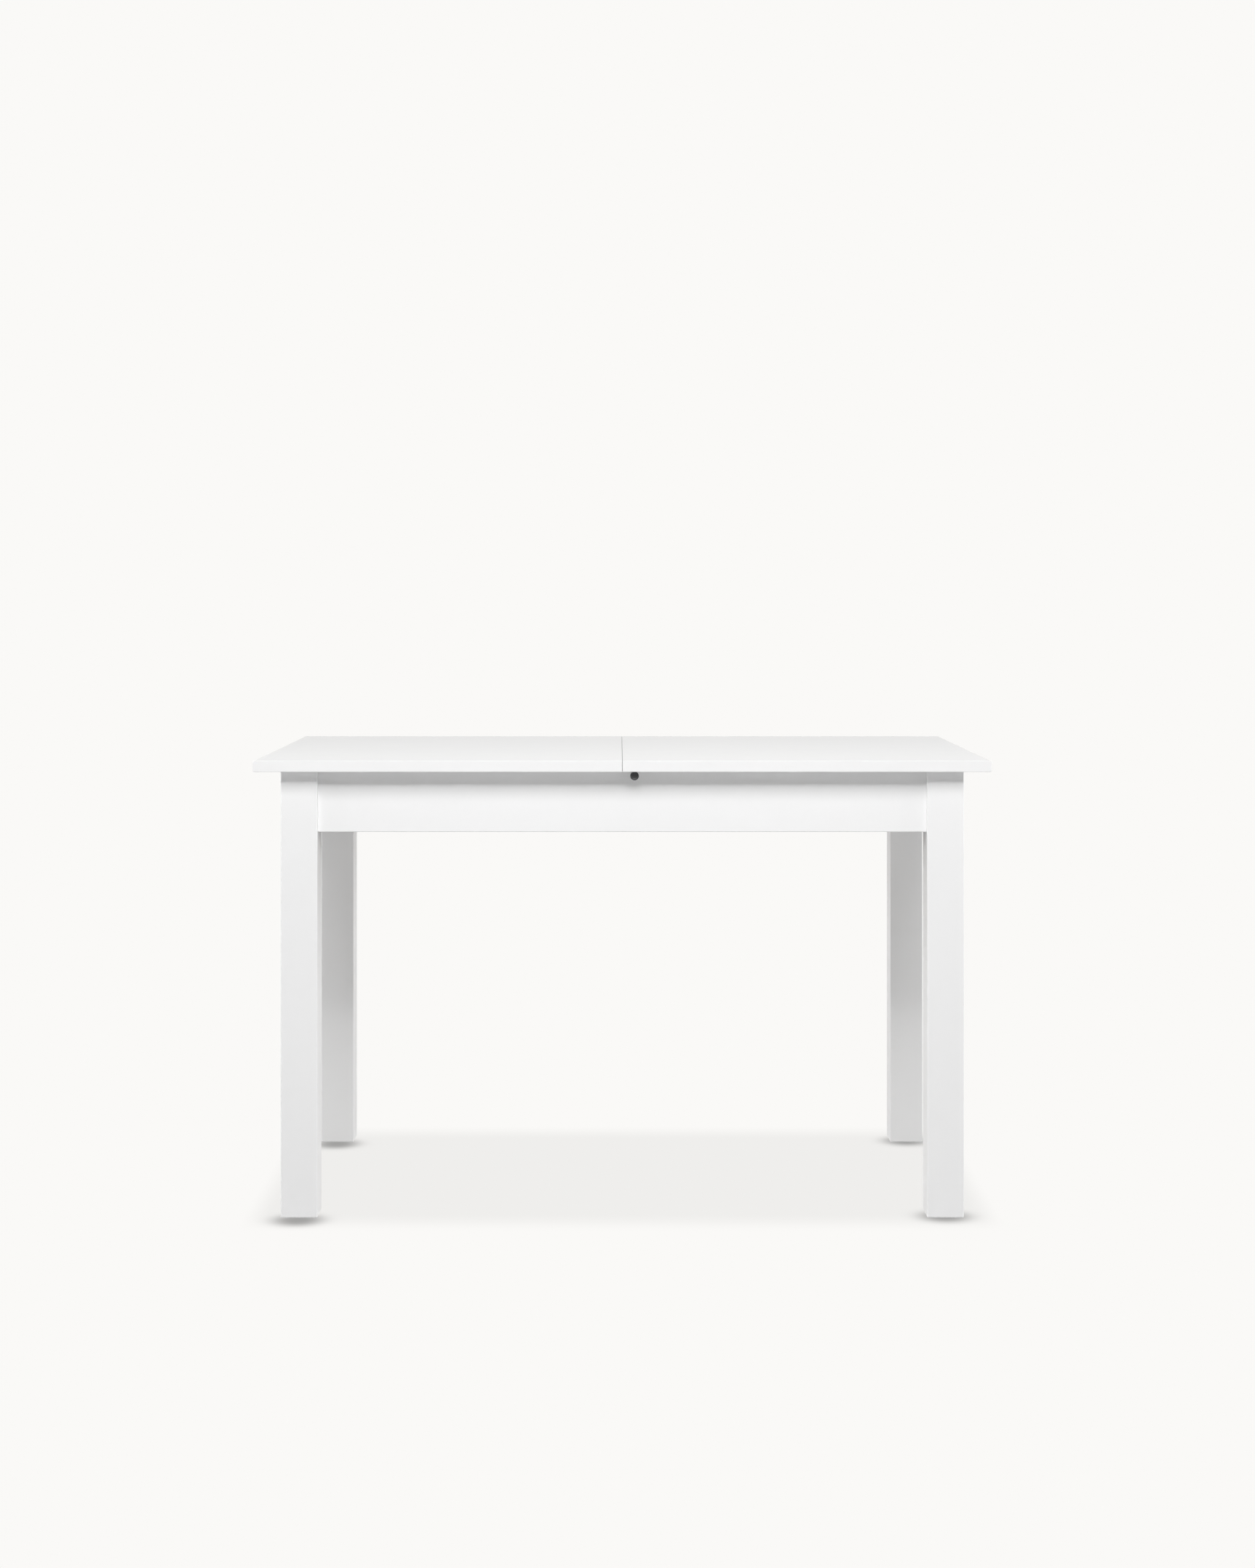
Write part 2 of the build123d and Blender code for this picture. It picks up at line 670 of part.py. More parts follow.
clip_y = catch_ear_y - 1.1
clip_groove = 1.0
clip_play = 0.05
clip_radius = 4.5
clip_root_radius = 2.5
clip_mouth = 3.6
rod_in_knob = 6.0
rod_end_y = knob_back_y - rod_in_knob
with BuildPart() as catch_rod:
    with BuildSketch(catch_line.offset(rod_end_y)):
        Circle(catch_rod_radius)
    extrude(amount=catch_tip_y - catch_rod_radius - rod_end_y)
    with Locations((catch_x, catch_tip_y - catch_rod_radius, catch_z)):
        Sphere(catch_rod_radius)
    with BuildSketch(catch_line.offset(clip_y)):
        Circle(clip_radius)
        Circle(clip_root_radius, mode=Mode.SUBTRACT)
    extrude(amount=clip_groove, mode=Mode.SUBTRACT)
save(catch_rod, "catch_rod_front")
save_turned(catch_rod, "catch_rod_back")

with BuildPart() as catch_clip:
    with BuildSketch(catch_line.offset(clip_y + clip_play)):
        Circle(clip_radius)
        Circle(clip_root_radius, mode=Mode.SUBTRACT)
        with Locations((0, clip_radius)):
            Rectangle(clip_mouth, 2 * clip_radius, mode=Mode.SUBTRACT)
    extrude(amount=clip_groove - 2 * clip_play)
save(catch_clip, "catch_clip_front")
save_turned(catch_clip, "catch_clip_back")

wire_radius = 0.3
coil_radius = 3.7
coils = 6
coil_start_y = bracket_y + wire_radius + clip_play
coil_length = clip_y - wire_radius - coil_start_y
with BuildPart() as catch_spring:
    with BuildLine():
        coil = Helix(
            pitch=coil_length / coils,
            height=coil_length,
            radius=coil_radius,
            center=(catch_x, coil_start_y, catch_z),
            direction=(0, 1, 0),
        )
    with BuildSketch(Plane(origin=coil @ 0, z_dir=coil % 0)):
        Circle(wire_radius)
    sweep(is_frenet=True)
save(catch_spring, "catch_spring_front")
save_turned(catch_spring, "catch_spring_back")

knob_neck = 4.0
knob_neck_radius = 4.5
knob_edge = 1.0
dish_radius = 22.0
dish_depth = 0.7
with BuildPart() as catch_knob:
    with BuildSketch(catch_line.offset(knob_face_y)):
        Circle(knob_radius)
    extrude(amount=knob_back_y - knob_neck - knob_face_y)
    chamfer(catch_knob.edges().filter_by(GeomType.CIRCLE).sort_by(Axis.Y)[0], knob_edge)
    fillet(catch_knob.edges().filter_by(GeomType.CIRCLE).sort_by(Axis.Y)[-1], knob_edge)
    with BuildSketch(catch_line.offset(knob_back_y - knob_neck)):
        Circle(knob_neck_radius)
    extrude(amount=knob_neck)
    with Locations((catch_x, knob_face_y - dish_radius + dish_depth, catch_z)):
        Sphere(dish_radius, mode=Mode.SUBTRACT)
    with BuildSketch(catch_line.offset(rod_end_y)):
        Circle(catch_rod_radius)
    extrude(amount=rod_in_knob, mode=Mode.SUBTRACT)
save(catch_knob, "catch_knob_front")
save_turned(catch_knob, "catch_knob_back")

with BuildPart() as keeper:
    with Locations((catch_x, keeper_face_y, underside)):
        Box(keeper_width, keeper_depth, catch_plate, align=(Align.CENTER, Align.MIN, Align.MAX))
        Box(keeper_width, catch_plate, keeper_drop, align=(Align.CENTER, Align.MIN, Align.MAX))
    with BuildSketch(catch_line.offset(keeper_face_y)):
        Circle(keeper_hole_radius)
    extrude(amount=catch_plate, mode=Mode.SUBTRACT)
    with Locations(*keeper_screws):
        add(keeper_screw.part, mode=Mode.SUBTRACT)
save(keeper, "keeper_right")
save_turned(keeper, "keeper_left")

with BuildPart() as keeper_fixings:
    with Locations(*keeper_screws):
        add(keeper_screw.part)
save(keeper_fixings, "keeper_screws_right")
save_turned(keeper_fixings, "keeper_screws_left")
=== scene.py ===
"""The looks of an extension dining table with a split top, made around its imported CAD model."""

import json
import math

import bmesh
import bpy
from mathutils import Matrix, Vector, noise


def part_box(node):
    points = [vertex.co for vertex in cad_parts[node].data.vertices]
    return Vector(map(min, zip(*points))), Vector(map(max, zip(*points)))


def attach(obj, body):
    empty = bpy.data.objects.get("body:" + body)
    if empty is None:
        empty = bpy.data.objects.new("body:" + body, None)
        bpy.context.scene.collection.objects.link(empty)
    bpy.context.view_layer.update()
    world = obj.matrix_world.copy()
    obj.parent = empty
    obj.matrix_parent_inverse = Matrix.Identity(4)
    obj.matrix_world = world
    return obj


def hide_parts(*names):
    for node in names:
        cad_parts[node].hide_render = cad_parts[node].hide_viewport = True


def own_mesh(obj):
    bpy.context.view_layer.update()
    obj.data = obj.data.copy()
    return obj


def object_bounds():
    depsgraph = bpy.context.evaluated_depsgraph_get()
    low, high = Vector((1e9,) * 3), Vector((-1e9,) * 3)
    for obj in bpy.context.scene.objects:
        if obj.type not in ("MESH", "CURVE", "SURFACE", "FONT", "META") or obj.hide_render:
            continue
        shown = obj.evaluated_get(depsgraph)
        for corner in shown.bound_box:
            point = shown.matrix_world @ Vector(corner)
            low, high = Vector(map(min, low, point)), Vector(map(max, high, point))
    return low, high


bl_info = {
    "name": "Extension Dining Table",
    "version": (1, 0, 0),
    "blender": (4, 5, 0),
    "location": "3D View > Sidebar > Table",
    "description": "Finishes, hardware and studio for a white extension dining table with a split top",
    "category": "Object",
}

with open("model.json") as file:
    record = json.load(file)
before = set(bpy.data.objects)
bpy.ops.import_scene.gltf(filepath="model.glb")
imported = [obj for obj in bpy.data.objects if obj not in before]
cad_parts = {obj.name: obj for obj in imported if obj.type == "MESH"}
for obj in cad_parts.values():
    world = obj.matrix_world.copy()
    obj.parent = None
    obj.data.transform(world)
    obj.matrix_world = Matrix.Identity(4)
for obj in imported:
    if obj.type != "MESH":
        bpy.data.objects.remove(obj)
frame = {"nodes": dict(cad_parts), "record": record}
CAD_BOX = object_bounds()
NODES = frame["nodes"]
BODY_OF = {node: body for body, nodes in frame["record"]["behaviour"]["bodies"].items() for node in nodes}
MM = 0.001
X, Y, Z = Vector((1, 0, 0)), Vector((0, 1, 0)), Vector((0, 0, 1))
FRONT_BACK, RIGHT_LEFT = ("front", "back"), ("right", "left")
CORNERS = ("front_left", "front_right", "back_left", "back_right")
NOISE_SPAN = (0.3, 0.7)  # where nearly all of a noise texture's values lie

# Sizes of the small CAD parts that are drawn again in more detail; lengths come from the parts themselves.
DOWEL_RADIUS = 4 * MM
GLIDE_RADIUS, GLIDE_THICKNESS, GLIDE_PIN_RADIUS = 13 * MM, 3 * MM, 1.5 * MM
BUFFER_RADIUS, BUFFER_EDGE = 7 * MM, 0.6 * MM
BOLT_RADIUS, BOLT_TAIL = 4 * MM, 16 * MM
WASHER_RADIUS, NUT_ACROSS = 8.5 * MM, 13 * MM
PIN_RADIUS = 1.2 * MM
SMALL_HEAD, MIDDLE_HEAD, LARGE_HEAD = 1.8 * MM, 2.2 * MM, 3 * MM
KNOB_RADIUS, KNOB_BORE_DEPTH = 7 * MM, 6 * MM
ROD_RADIUS, GROOVE_RADIUS, GROOVE_WIDTH, GROOVE_PLAY = 3 * MM, 2.5 * MM, 1 * MM, 0.05 * MM
COIL_RADIUS, WIRE_RADIUS = 3.7 * MM, 0.3 * MM

# The seam between the half tops holds a lip of painted shade: a grey bar in the gap.
SHADE_LIP_INSET, SHADE_LIP_DEPTH = 1.5 * MM, 3.4 * MM  # how far the seam's lip stays inside the top, and its thickness
FLOOR_RADIUS, SENSOR_WIDTH = 40.0, 36.0  # metres, and millimetres as Blender's cameras take them


# ---------------------------------------------------------------- settings


def colour(name, description, default):
    return bpy.props.FloatVectorProperty(
        name=name, description=description, subtype="COLOR", size=3, min=0, max=1, default=default
    )


def length(name, description, default):
    return bpy.props.FloatProperty(
        name=name, description=description, subtype="DISTANCE", unit="LENGTH", precision=5, default=default
    )


def amount(name, description, default, most=1.0):
    return bpy.props.FloatProperty(name=name, description=description, min=0, max=most, default=default)


def power(name, lamp, default):
    return amount(name, f"Power of {lamp}, in watts", default, 5000.0)


class TableFinish(bpy.types.PropertyGroup):
    """Colours and surface values of every finish on the table, and the grey of the painted shade in its seam
    """

    lacquer: colour("Board lacquer", "Satin lacquer on the half tops, aprons and leaf", (0.84, 0.84, 0.84))
    leg_lacquer: colour("Leg lacquer", "Satin lacquer on the solid wood legs", (0.83, 0.83, 0.83))
    lacquer_roughness: amount("Lacquer roughness", "Gloss of the lacquer, from mirror to chalk", 0.42)
    peel_height: length("Lacquer texture", "Height of the faint spray texture in the lacquer", 0.0000035)
    beech_early: colour("Beech, light", "Light wood between the beech's growth rings", (0.62, 0.42, 0.245))
    beech_late: colour("Beech, dark", "Dark wood of the beech's rings and flecks", (0.40, 0.225, 0.115))
    pine_early: colour("Softwood, light", "Light early wood of the bearers", (0.72, 0.52, 0.30))
    pine_late: colour("Softwood, dark", "Dark late wood of the bearers", (0.50, 0.27, 0.12))
    zinc: colour("Zinc plate", "Bright zinc plate on brackets, screws and nuts", (0.63, 0.64, 0.655))
    spring_steel: colour("Spring steel", "Drawn steel of rods, pins and springs", (0.50, 0.50, 0.51))
    knob: colour("Knob", "Dark moulded plastic of the catch knobs", (0.030, 0.030, 0.032))
    nylon: colour("Nylon", "Moulded nylon of the foot glides", (0.40, 0.40, 0.385))
    felt: colour("Felt", "Pressed wool felt of the strips and buffers", (0.30, 0.295, 0.285))
    # Painted shade: the seam between the half tops is darkened by a grey lip in this colour.
    seam_shade: colour("Seam shade", "Grey of the painted shade in the seam between the half tops", (0.36, 0.36, 0.36))


class TableHardware(bpy.types.PropertyGroup):
    """Sizes of the small hardware that is drawn in more detail than its CAD solid"""

    thread_depth: length("Thread depth", "Depth of the rolled threads", 0.00045)
    bolt_pitch: length("Bolt pitch", "Pitch of the machine thread on the hanger bolts", 0.00125)
    wood_pitch: length("Wood screw pitch", "Pitch of the coarse thread that bites in the wood", 0.0028)
    recess_depth: length("Recess depth", "Depth of the cross recess in the screw heads", 0.0013)
    dowel_flutes: bpy.props.IntProperty(
        name="Dowel flutes", description="Glue flutes pressed round each dowel", min=6, default=14
    )
    spring_turns: bpy.props.IntProperty(
        name="Spring turns", description="Turns of wire in each catch spring", min=3, default=6
    )
    felt_fuzz: length("Felt fuzz", "How far the felt's surface wanders", 0.00012)


class TableStudio(bpy.types.PropertyGroup):
    """Camera, lights and floor"""

    lens: bpy.props.FloatProperty(
        name="Lens", description="Focal length on a 36 mm sensor", subtype="DISTANCE_CAMERA", default=59.56
    )
    camera_distance: length("Camera distance", "From the camera to the front edge of the top", 4.212)
    camera_height: length("Camera height", "Height of the level camera above the floor", 1.031)
    camera_side: length("Camera side step", "How far the camera stands to the right of the middle", -0.0045)
    shift_x: bpy.props.FloatProperty(name="Shift X", description="Sideways lens shift", default=0.0051)
    shift_y: bpy.props.FloatProperty(name="Shift Y", description="Vertical lens shift", default=-0.1251)
    backdrop: colour("Backdrop", "Warm white of the sweep behind the table", (0.956, 0.947, 0.930))
    # The shadows below are painted into the floor's colour as the camera sees it: a soft dark box under the
    # table and a dark spot at each foot.
    shadow_depth: amount("Shadow depth", "How dark the soft shadow under the table is", 0.097)
    shadow_blur: length("Shadow blur", "Half the width of the soft shadow's edge at the sides", 0.026)
    shadow_stretch: amount("Shadow stretch", "How much wider that edge is at the front and back", 2.5, 10.0)
    contact_depth: amount("Contact depth", "How dark the shadow at each foot is", 0.58)
    contact_radius: length("Contact radius", "Size of the dark shadow at each foot", 0.042)
    contact_slip_left: length("Contact slip, left", "How far forward the left feet's shadows lie", 0.042)
    contact_slip_right: length("Contact slip, right", "How far forward the right feet's shadows lie", 0.017)
    floor_bounce: colour("Floor bounce", "How much light the floor throws back up", (0.61, 0.61, 0.61))
    floor_glow: amount("Floor glow", "Even light that the floor gives to what stands on it", 0.12)
    front_power: power("Front softbox", "the wide softbox in front", 101.0)
    front_elevation: bpy.props.FloatProperty(
        name="Front elevation",
        description="Angle of the front softbox above the table's edge",
        subtype="ANGLE",
        default=math.radians(43),
    )
    strip_power: power("Front strip", "the narrow strip under the front softbox", 29.0)
    left_power: power("Left softbox", "the softbox on the left", 8.0)
    right_power: power("Right softbox", "the softbox on the right", 14.0)
    side_power: power("Side lights", "each low light beside the table", 118.0)
    corner_power: power("Rear corner lights", "each low light behind", 86.0)
    rear_power: power("Rear softbox", "the softbox behind the table", 26.0)
    fill: amount("Fill", "Strength of the faint even light from all sides", 0.01, 10.0)


# ---------------------------------------------------------------- shader tools


def add_node(tree, kind, inputs=None, **settings):
    """A new node with its settings, and its inputs set or linked by name or number."""
    node = tree.nodes.new(kind)
    for key, value in settings.items():
        setattr(node, key, value)
    for key, value in (inputs or {}).items():
        if isinstance(value, bpy.types.NodeSocket):
            tree.links.new(value, node.inputs[key])
        else:
            node.inputs[key].default_value = value
    return node


def calculate(tree, operation, first, second=0.0, clamp=False):
    node = add_node(tree, "ShaderNodeMath", {0: first, 1: second}, operation=operation, use_clamp=clamp)
    return node.outputs[0]


def fit_range(tree, value, low, high, to_low=0.0, to_high=1.0, **settings):
    """A value whose span from low to high is fitted to another span."""
    inputs = {"Value": value, "From Min": low, "From Max": high, "To Min": to_low, "To Max": to_high}
    return add_node(tree, "ShaderNodeMapRange", inputs, **settings).outputs["Result"]


def swing(tree, noise_value, strength):
    """A noise value moved to lie round 0 and scaled by a strength."""
    return calculate(tree, "MULTIPLY", calculate(tree, "SUBTRACT", noise_value, 0.5), strength)


def blend_colours(tree, share, first, second):
    node = add_node(tree, "ShaderNodeMix", data_type="RGBA")
    for socket, value in ((node.inputs[0], share), (node.inputs[6], first), (node.inputs[7], second)):
        if isinstance(value, bpy.types.NodeSocket):
            tree.links.new(value, socket)
        else:
            socket.default_value = value
    return node.outputs[2]


def stretched_noise(tree, vector, scale, detail=3.0, roughness=0.5):
    """Noise whose scale differs along X, Y and Z, in waves per metre."""
    spread = add_node(tree, "ShaderNodeVectorMath", {0: vector, 1: scale}, operation="MULTIPLY").outputs[0]
    inputs = {"Vector": spread, "Scale": 1.0, "Detail": detail, "Roughness": roughness}
    return add_node(tree, "ShaderNodeTexNoise", inputs).outputs["Fac"]


def new_group(name, inputs, outputs=("Color", "Roughness", "Height")):
    """An empty shader group; inputs are {name: default}, where None makes a vector."""
    tree = bpy.data.node_groups.new(name, "ShaderNodeTree")
    for label, default in inputs.items():
        kind = "Vector" if default is None else "Color" if isinstance(default, tuple) else "Float"
        socket = tree.interface.new_socket(label, in_out="INPUT", socket_type=f"NodeSocket{kind}")
        if default is not None:
            socket.default_value = default
    for label in outputs:
        kind = "Color" if label == "Color" else "Float"
        tree.interface.new_socket(label, in_out="OUTPUT", socket_type=f"NodeSocket{kind}")
    entry = tree.nodes.new("NodeGroupInput")
    leave = tree.nodes.new("NodeGroupOutput")
    return tree, entry.outputs, leave.inputs


def scale_colour(tree, given, level, result):
    """Puts out the group's colour, made lighter or darker by a level round 1."""
    scaled = add_node(tree, "ShaderNodeVectorMath", {0: given["Color"], "Scale": level}, operation="SCALE")
    tree.links.new(scaled.outputs[0], result["Color"])


def vary_roughness(tree, given, mask, least, most, result):
    """Puts out the group's roughness, changed by least to most where the mask runs from low to high."""
    change = fit_range(tree, mask, *NOISE_SPAN, least, most)
    tree.links.new(calculate(tree, "ADD", given["Roughness"], change), result["Roughness"])


def made_once(build):
    """Keeps what a builder makes, so that asking for the same thing again gives the same copy."""
    kept = {}

    def get(*values):
        if values not in kept:
            kept[values] = build(*values)
        return kept[values]

    return get


@made_once
def sprayed_film_group():
    """Sprayed lacquer: slow tone drift, fine spray texture and faint handling marks in the gloss."""
    inputs = {"Color": (0.8, 0.8, 0.8, 1), "Roughness": 0.4, "Peel Height": 0.000004, "Tone Drift": 0.02}
    tree, given, result = new_group("Sprayed Film", {"Vector": None, **inputs})
    drift = stretched_noise(tree, given["Vector"], (3.2, 3.2, 3.2), 2.0)
    speckle = stretched_noise(tree, given["Vector"], (2600, 2600, 2600), 2.0)
    tone = swing(tree, drift, given["Tone Drift"])
    grit = swing(tree, speckle, 0.012)
    scale_colour(tree, given, calculate(tree, "ADD", calculate(tree, "ADD", tone, grit), 1.0), result)
    marks = stretched_noise(tree, given["Vector"], (22, 22, 22), 5.0, 0.65)
    vary_roughness(tree, given, marks, -0.035, 0.05, result)
    peel = stretched_noise(tree, given["Vector"], (620, 620, 620), 2.0)
    wave = stretched_noise(tree, given["Vector"], (70, 70, 70), 1.0)
    bumps = calculate(tree, "ADD", peel, calculate(tree, "MULTIPLY", wave, 2.0))
    tree.links.new(calculate(tree, "MULTIPLY", bumps, given["Peel Height"]), result["Height"])
    return tree


@made_once
def wood_grain_group():
    """Sawn and sanded wood whose grain runs along Z: growth bands, fibres and short ray flecks."""
    tree, given, result = new_group(
        "Wood Grain",
        {
            "Vector": None,
            "Early Wood": (0.7, 0.5, 0.3, 1),
            "Late Wood": (0.5, 0.3, 0.15, 1),
            "Band Spacing": 0.006,
            "Band Strength": 0.5,
            "Fleck Strength": 0.4,
        },
    )
    wander = stretched_noise(tree, given["Vector"], (9, 9, 0.9), 2.0)
    split = add_node(tree, "ShaderNodeSeparateXYZ", {0: given["Vector"]})
    across = calculate(tree, "ADD", split.outputs[0], calculate(tree, "MULTIPLY", split.outputs[1], 0.35))
    bent = calculate(tree, "ADD", across, calculate(tree, "MULTIPLY", wander, 0.045))
    phase = calculate(tree, "FRACT", calculate(tree, "DIVIDE", bent, given["Band Spacing"]))
    band = calculate(tree, "POWER", phase, 3.0)
    fibres = stretched_noise(tree, given["Vector"], (1500, 1500, 18), 3.0, 0.6)
    flecks = fit_range(tree, stretched_noise(tree, given["Vector"], (900, 900, 130), 1.0), 0.60, 0.70)
    share = calculate(tree, "MULTIPLY", band, given["Band Strength"])
    share = calculate(tree, "ADD", share, calculate(tree, "MULTIPLY", flecks, given["Fleck Strength"]))
    share = calculate(tree, "ADD", share, fit_range(tree, fibres, *NOISE_SPAN, -0.12, 0.16), clamp=True)
    tree.links.new(blend_colours(tree, share, given["Early Wood"], given["Late Wood"]), result["Color"])
    tree.links.new(fit_range(tree, fibres, *NOISE_SPAN, 0.55, 0.72), result["Roughness"])
    fibre_relief = calculate(tree, "MULTIPLY", fibres, 0.00003)
    band_relief = calculate(tree, "MULTIPLY", band, 0.00002)
    tree.links.new(calculate(tree, "ADD", fibre_relief, band_relief), result["Height"])
    return tree


@made_once
def plated_metal_group():
    """Plated or drawn metal: cloudy plate, fine draw lines along Z and small dents in the gloss."""
    inputs = {"Color": (0.6, 0.6, 0.62, 1), "Roughness": 0.3, "Cloud": 0.12, "Line Height": 0.000002}
    tree, given, result = new_group("Plated Metal", {"Vector": None, **inputs})
    cloud = stretched_noise(tree, given["Vector"], (260, 260, 260), 3.0, 0.6)
    scale_colour(tree, given, calculate(tree, "ADD", 1.0, swing(tree, cloud, given["Cloud"])), result)
    vary_roughness(tree, given, cloud, -0.06, 0.10, result)
    lines = stretched_noise(tree, given["Vector"], (9000, 9000, 260), 2.0)
    tree.links.new(calculate(tree, "MULTIPLY", lines, given["Line Height"]), result["Height"])
    return tree


@made_once
def pressed_felt_group():
    """Pressed wool felt: matted fibres in two directions with lighter stray hairs."""
    tree, given, result = new_group("Pressed Felt", {"Vector": None, "Color": (0.3, 0.3, 0.3, 1)})
    first = stretched_noise(tree, given["Vector"], (3600, 900, 2200), 3.0, 0.6)
    second = stretched_noise(tree, given["Vector"], (900, 3600, 2200), 3.0, 0.6)
    mat = calculate(tree, "MULTIPLY", calculate(tree, "ADD", first, second), 0.5)
    hairs = calculate(tree, "MULTIPLY", fit_range(tree, first, 0.62, 0.70), 0.5)
    level = calculate(tree, "ADD", fit_range(tree, mat, *NOISE_SPAN, 0.72, 1.22), hairs)
    scale_colour(tree, given, level, result)
    tree.links.new(fit_range(tree, mat, *NOISE_SPAN, 0.86, 1.0), result["Roughness"])
    tree.links.new(calculate(tree, "MULTIPLY", mat, 0.00025), result["Height"])
    return tree


@made_once
def moulded_plastic_group():
    """Moulded plastic: spark-eroded mould grain and slight gloss change."""
    inputs = {"Color": (0.1, 0.1, 0.1, 1), "Roughness": 0.35, "Grain Height": 0.000006}
    tree, given, result = new_group("Moulded Plastic", {"Vector": None, **inputs})
    grain = stretched_noise(tree, given["Vector"], (3800, 3800, 3800), 2.0)
    sheen = stretched_noise(tree, given["Vector"], (190, 190, 190), 3.0)
    scale_colour(tree, given, fit_range(tree, grain, *NOISE_SPAN, 0.88, 1.14), result)
    vary_roughness(tree, given, sheen, -0.05, 0.07, result)
    tree.links.new(calculate(tree, "MULTIPLY", grain, given["Grain Height"]), result["Height"])
    return tree


@made_once
def soft_box_group():
    """A mask that is 1 inside a box on the floor and fades to 0 across its blurred edges."""
    names = ("Vector", "Low", "High", "Blur")
    tree, given, result = new_group("Soft Box", dict.fromkeys(names), ("Mask",))
    split = [add_node(tree, "ShaderNodeSeparateXYZ", {0: given[name]}).outputs for name in names]
    mask = None
    for axis in (0, 1):
        value, low, high, blur = (part[axis] for part in split)
        for inside in (calculate(tree, "SUBTRACT", value, low), calculate(tree, "SUBTRACT", high, value)):
            depth = calculate(tree, "DIVIDE", inside, blur)
            edge = fit_range(tree, depth, -1.0, 1.0, interpolation_type="SMOOTHSTEP")
            mask = edge if mask is None else calculate(tree, "MULTIPLY", mask, edge)
    tree.links.new(mask, result["Mask"])
    return tree


@made_once
def soft_spot_group():
    """A round mask, flat in the middle, that fades out over about one and a half radii."""
    tree, given, result = new_group("Soft Spot", {"Vector": None, "Centre": None, "Radius": 0.04}, ("Mask",))
    ends = {0: given["Vector"], 1: given["Centre"]}
    apart = add_node(tree, "ShaderNodeVectorMath", ends, operation="DISTANCE")
    share = calculate(tree, "DIVIDE", apart.outputs["Value"], given["Radius"])
    fall = calculate(tree, "MULTIPLY", calculate(tree, "POWER", share, 3.0), -1.0)
    tree.links.new(calculate(tree, "EXPONENT", fall), result["Mask"])
    return tree


def grain_vector(tree, along):
    """The piece's own coordinates, turned so that Z runs along its grain."""
    place = add_node(tree, "ShaderNodeTexCoord").outputs["Object"]
    if along == "Z":
        return place
    split = add_node(tree, "ShaderNodeSeparateXYZ", {0: place}).outputs
    order = {"X": (1, 2, 0), "Y": (2, 0, 1)}[along]
    return add_node(tree, "ShaderNodeCombineXYZ", {i: split[order[i]] for i in range(3)}).outputs[0]


def surface_material(name, group, values, along="Z", **constants):
    """A material whose Principled shader reads colour, roughness and height from a shared group.
    Each value is the group input's own, or the name of a setting in the table's finish."""
    finish = bpy.context.scene.table_finish
    material = bpy.data.materials.new(name)
    material.use_nodes = True
    tree = material.node_tree
    shader = tree.nodes["Principled BSDF"]
    effect = add_node(tree, "ShaderNodeGroup", node_tree=group)
    tree.links.new(grain_vector(tree, along), effect.inputs["Vector"])
    for key, value in values.items():
        if isinstance(value, str):
            value = (*getattr(finish, value), 1)
        effect.inputs[key].default_value = value
    relief = {"Height": effect.outputs["Height"], "Strength": 1.0, "Distance": 1.0}
    bump = add_node(tree, "ShaderNodeBump", relief)
    tree.links.new(effect.outputs["Color"], shader.inputs["Base Color"])
    tree.links.new(effect.outputs["Roughness"], shader.inputs["Roughness"])
    tree.links.new(bump.outputs["Normal"], shader.inputs["Normal"])
    for key, value in constants.items():
        shader.inputs[key.replace("_", " ")].default_value = value
    return material


# ---------------------------------------------------------------- finishes


@made_once
def lacquer(name, paint, duller, coarser, drift):
    """Sprayed satin lacquer; duller is added to its roughness and coarser scales its texture."""
    finish = bpy.context.scene.table_finish
    roughness, peel = finish.lacquer_roughness + duller, finish.peel_height * coarser
    values = {"Color": paint, "Roughness": roughness, "Peel Height": peel, "Tone Drift": drift}
    return surface_material(name, sprayed_film_group(), values, Specular_IOR_Level=0.45)


def board_lacquer():
    return lacquer("Board Lacquer", "lacquer", 0.0, 1.0, 0.02)


def leg_lacquer():
    return lacquer("Leg Lacquer", "leg_lacquer", 0.03, 1.3, 0.03)


@made_once
def raw_wood(kind, wood, spacing, bands, flecks, along):
    """Unfinished wood whose grain runs along X, Y or Z."""
    values = {"Early Wood": f"{wood}_early", "Late Wood": f"{wood}_late", "Band Spacing": spacing}
    values |= {"Band Strength": bands, "Fleck Strength": flecks}
    return surface_material(f"{kind} {along}", wood_grain_group(), values, along)


def raw_beech(along):
    return raw_wood("Raw Beech", "beech", 0.0045, 0.30, 0.55, along)


def raw_softwood(along):
    return raw_wood("Raw Softwood", "pine", 0.0062, 0.75, 0.06, along)


@made_once
def zinc_plate():
    values = {"Color": "zinc", "Roughness": 0.34, "Cloud": 0.22, "Line Height": 0.000001}
    return surface_material("Zinc Plate", plated_metal_group(), values, Metallic=1.0)


@made_once
def drawn_steel():
    values = {"Color": "spring_steel", "Roughness": 0.24, "Cloud": 0.10, "Line Height": 0.000002}
    return surface_material("Drawn Steel", plated_metal_group(), values, "Y", Metallic=1.0)


@made_once
def knob_plastic():
    values = {"Color": "knob", "Roughness": 0.33, "Grain Height": 0.000004}
    return surface_material("Knob Plastic", moulded_plastic_group(), values, Specular_IOR_Level=0.5)


@made_once
def glide_nylon():
    values = {"Color": "nylon", "Roughness": 0.48, "Grain Height": 0.000008}
    return surface_material("Glide Nylon", moulded_plastic_group(), values)


@made_once
def wool_felt():
    return surface_material("Wool Felt", pressed_felt_group(), {"Color": "felt"}, Sheen_Weight=0.4)


# Painted shade for the seam between the half tops: a grey with the felt texture.
@made_once
def painted_seam_shade():
    return surface_material("Painted Seam Shade", pressed_felt_group(), {"Color": "seam_shade"})


# ---------------------------------------------------------------- mesh tools


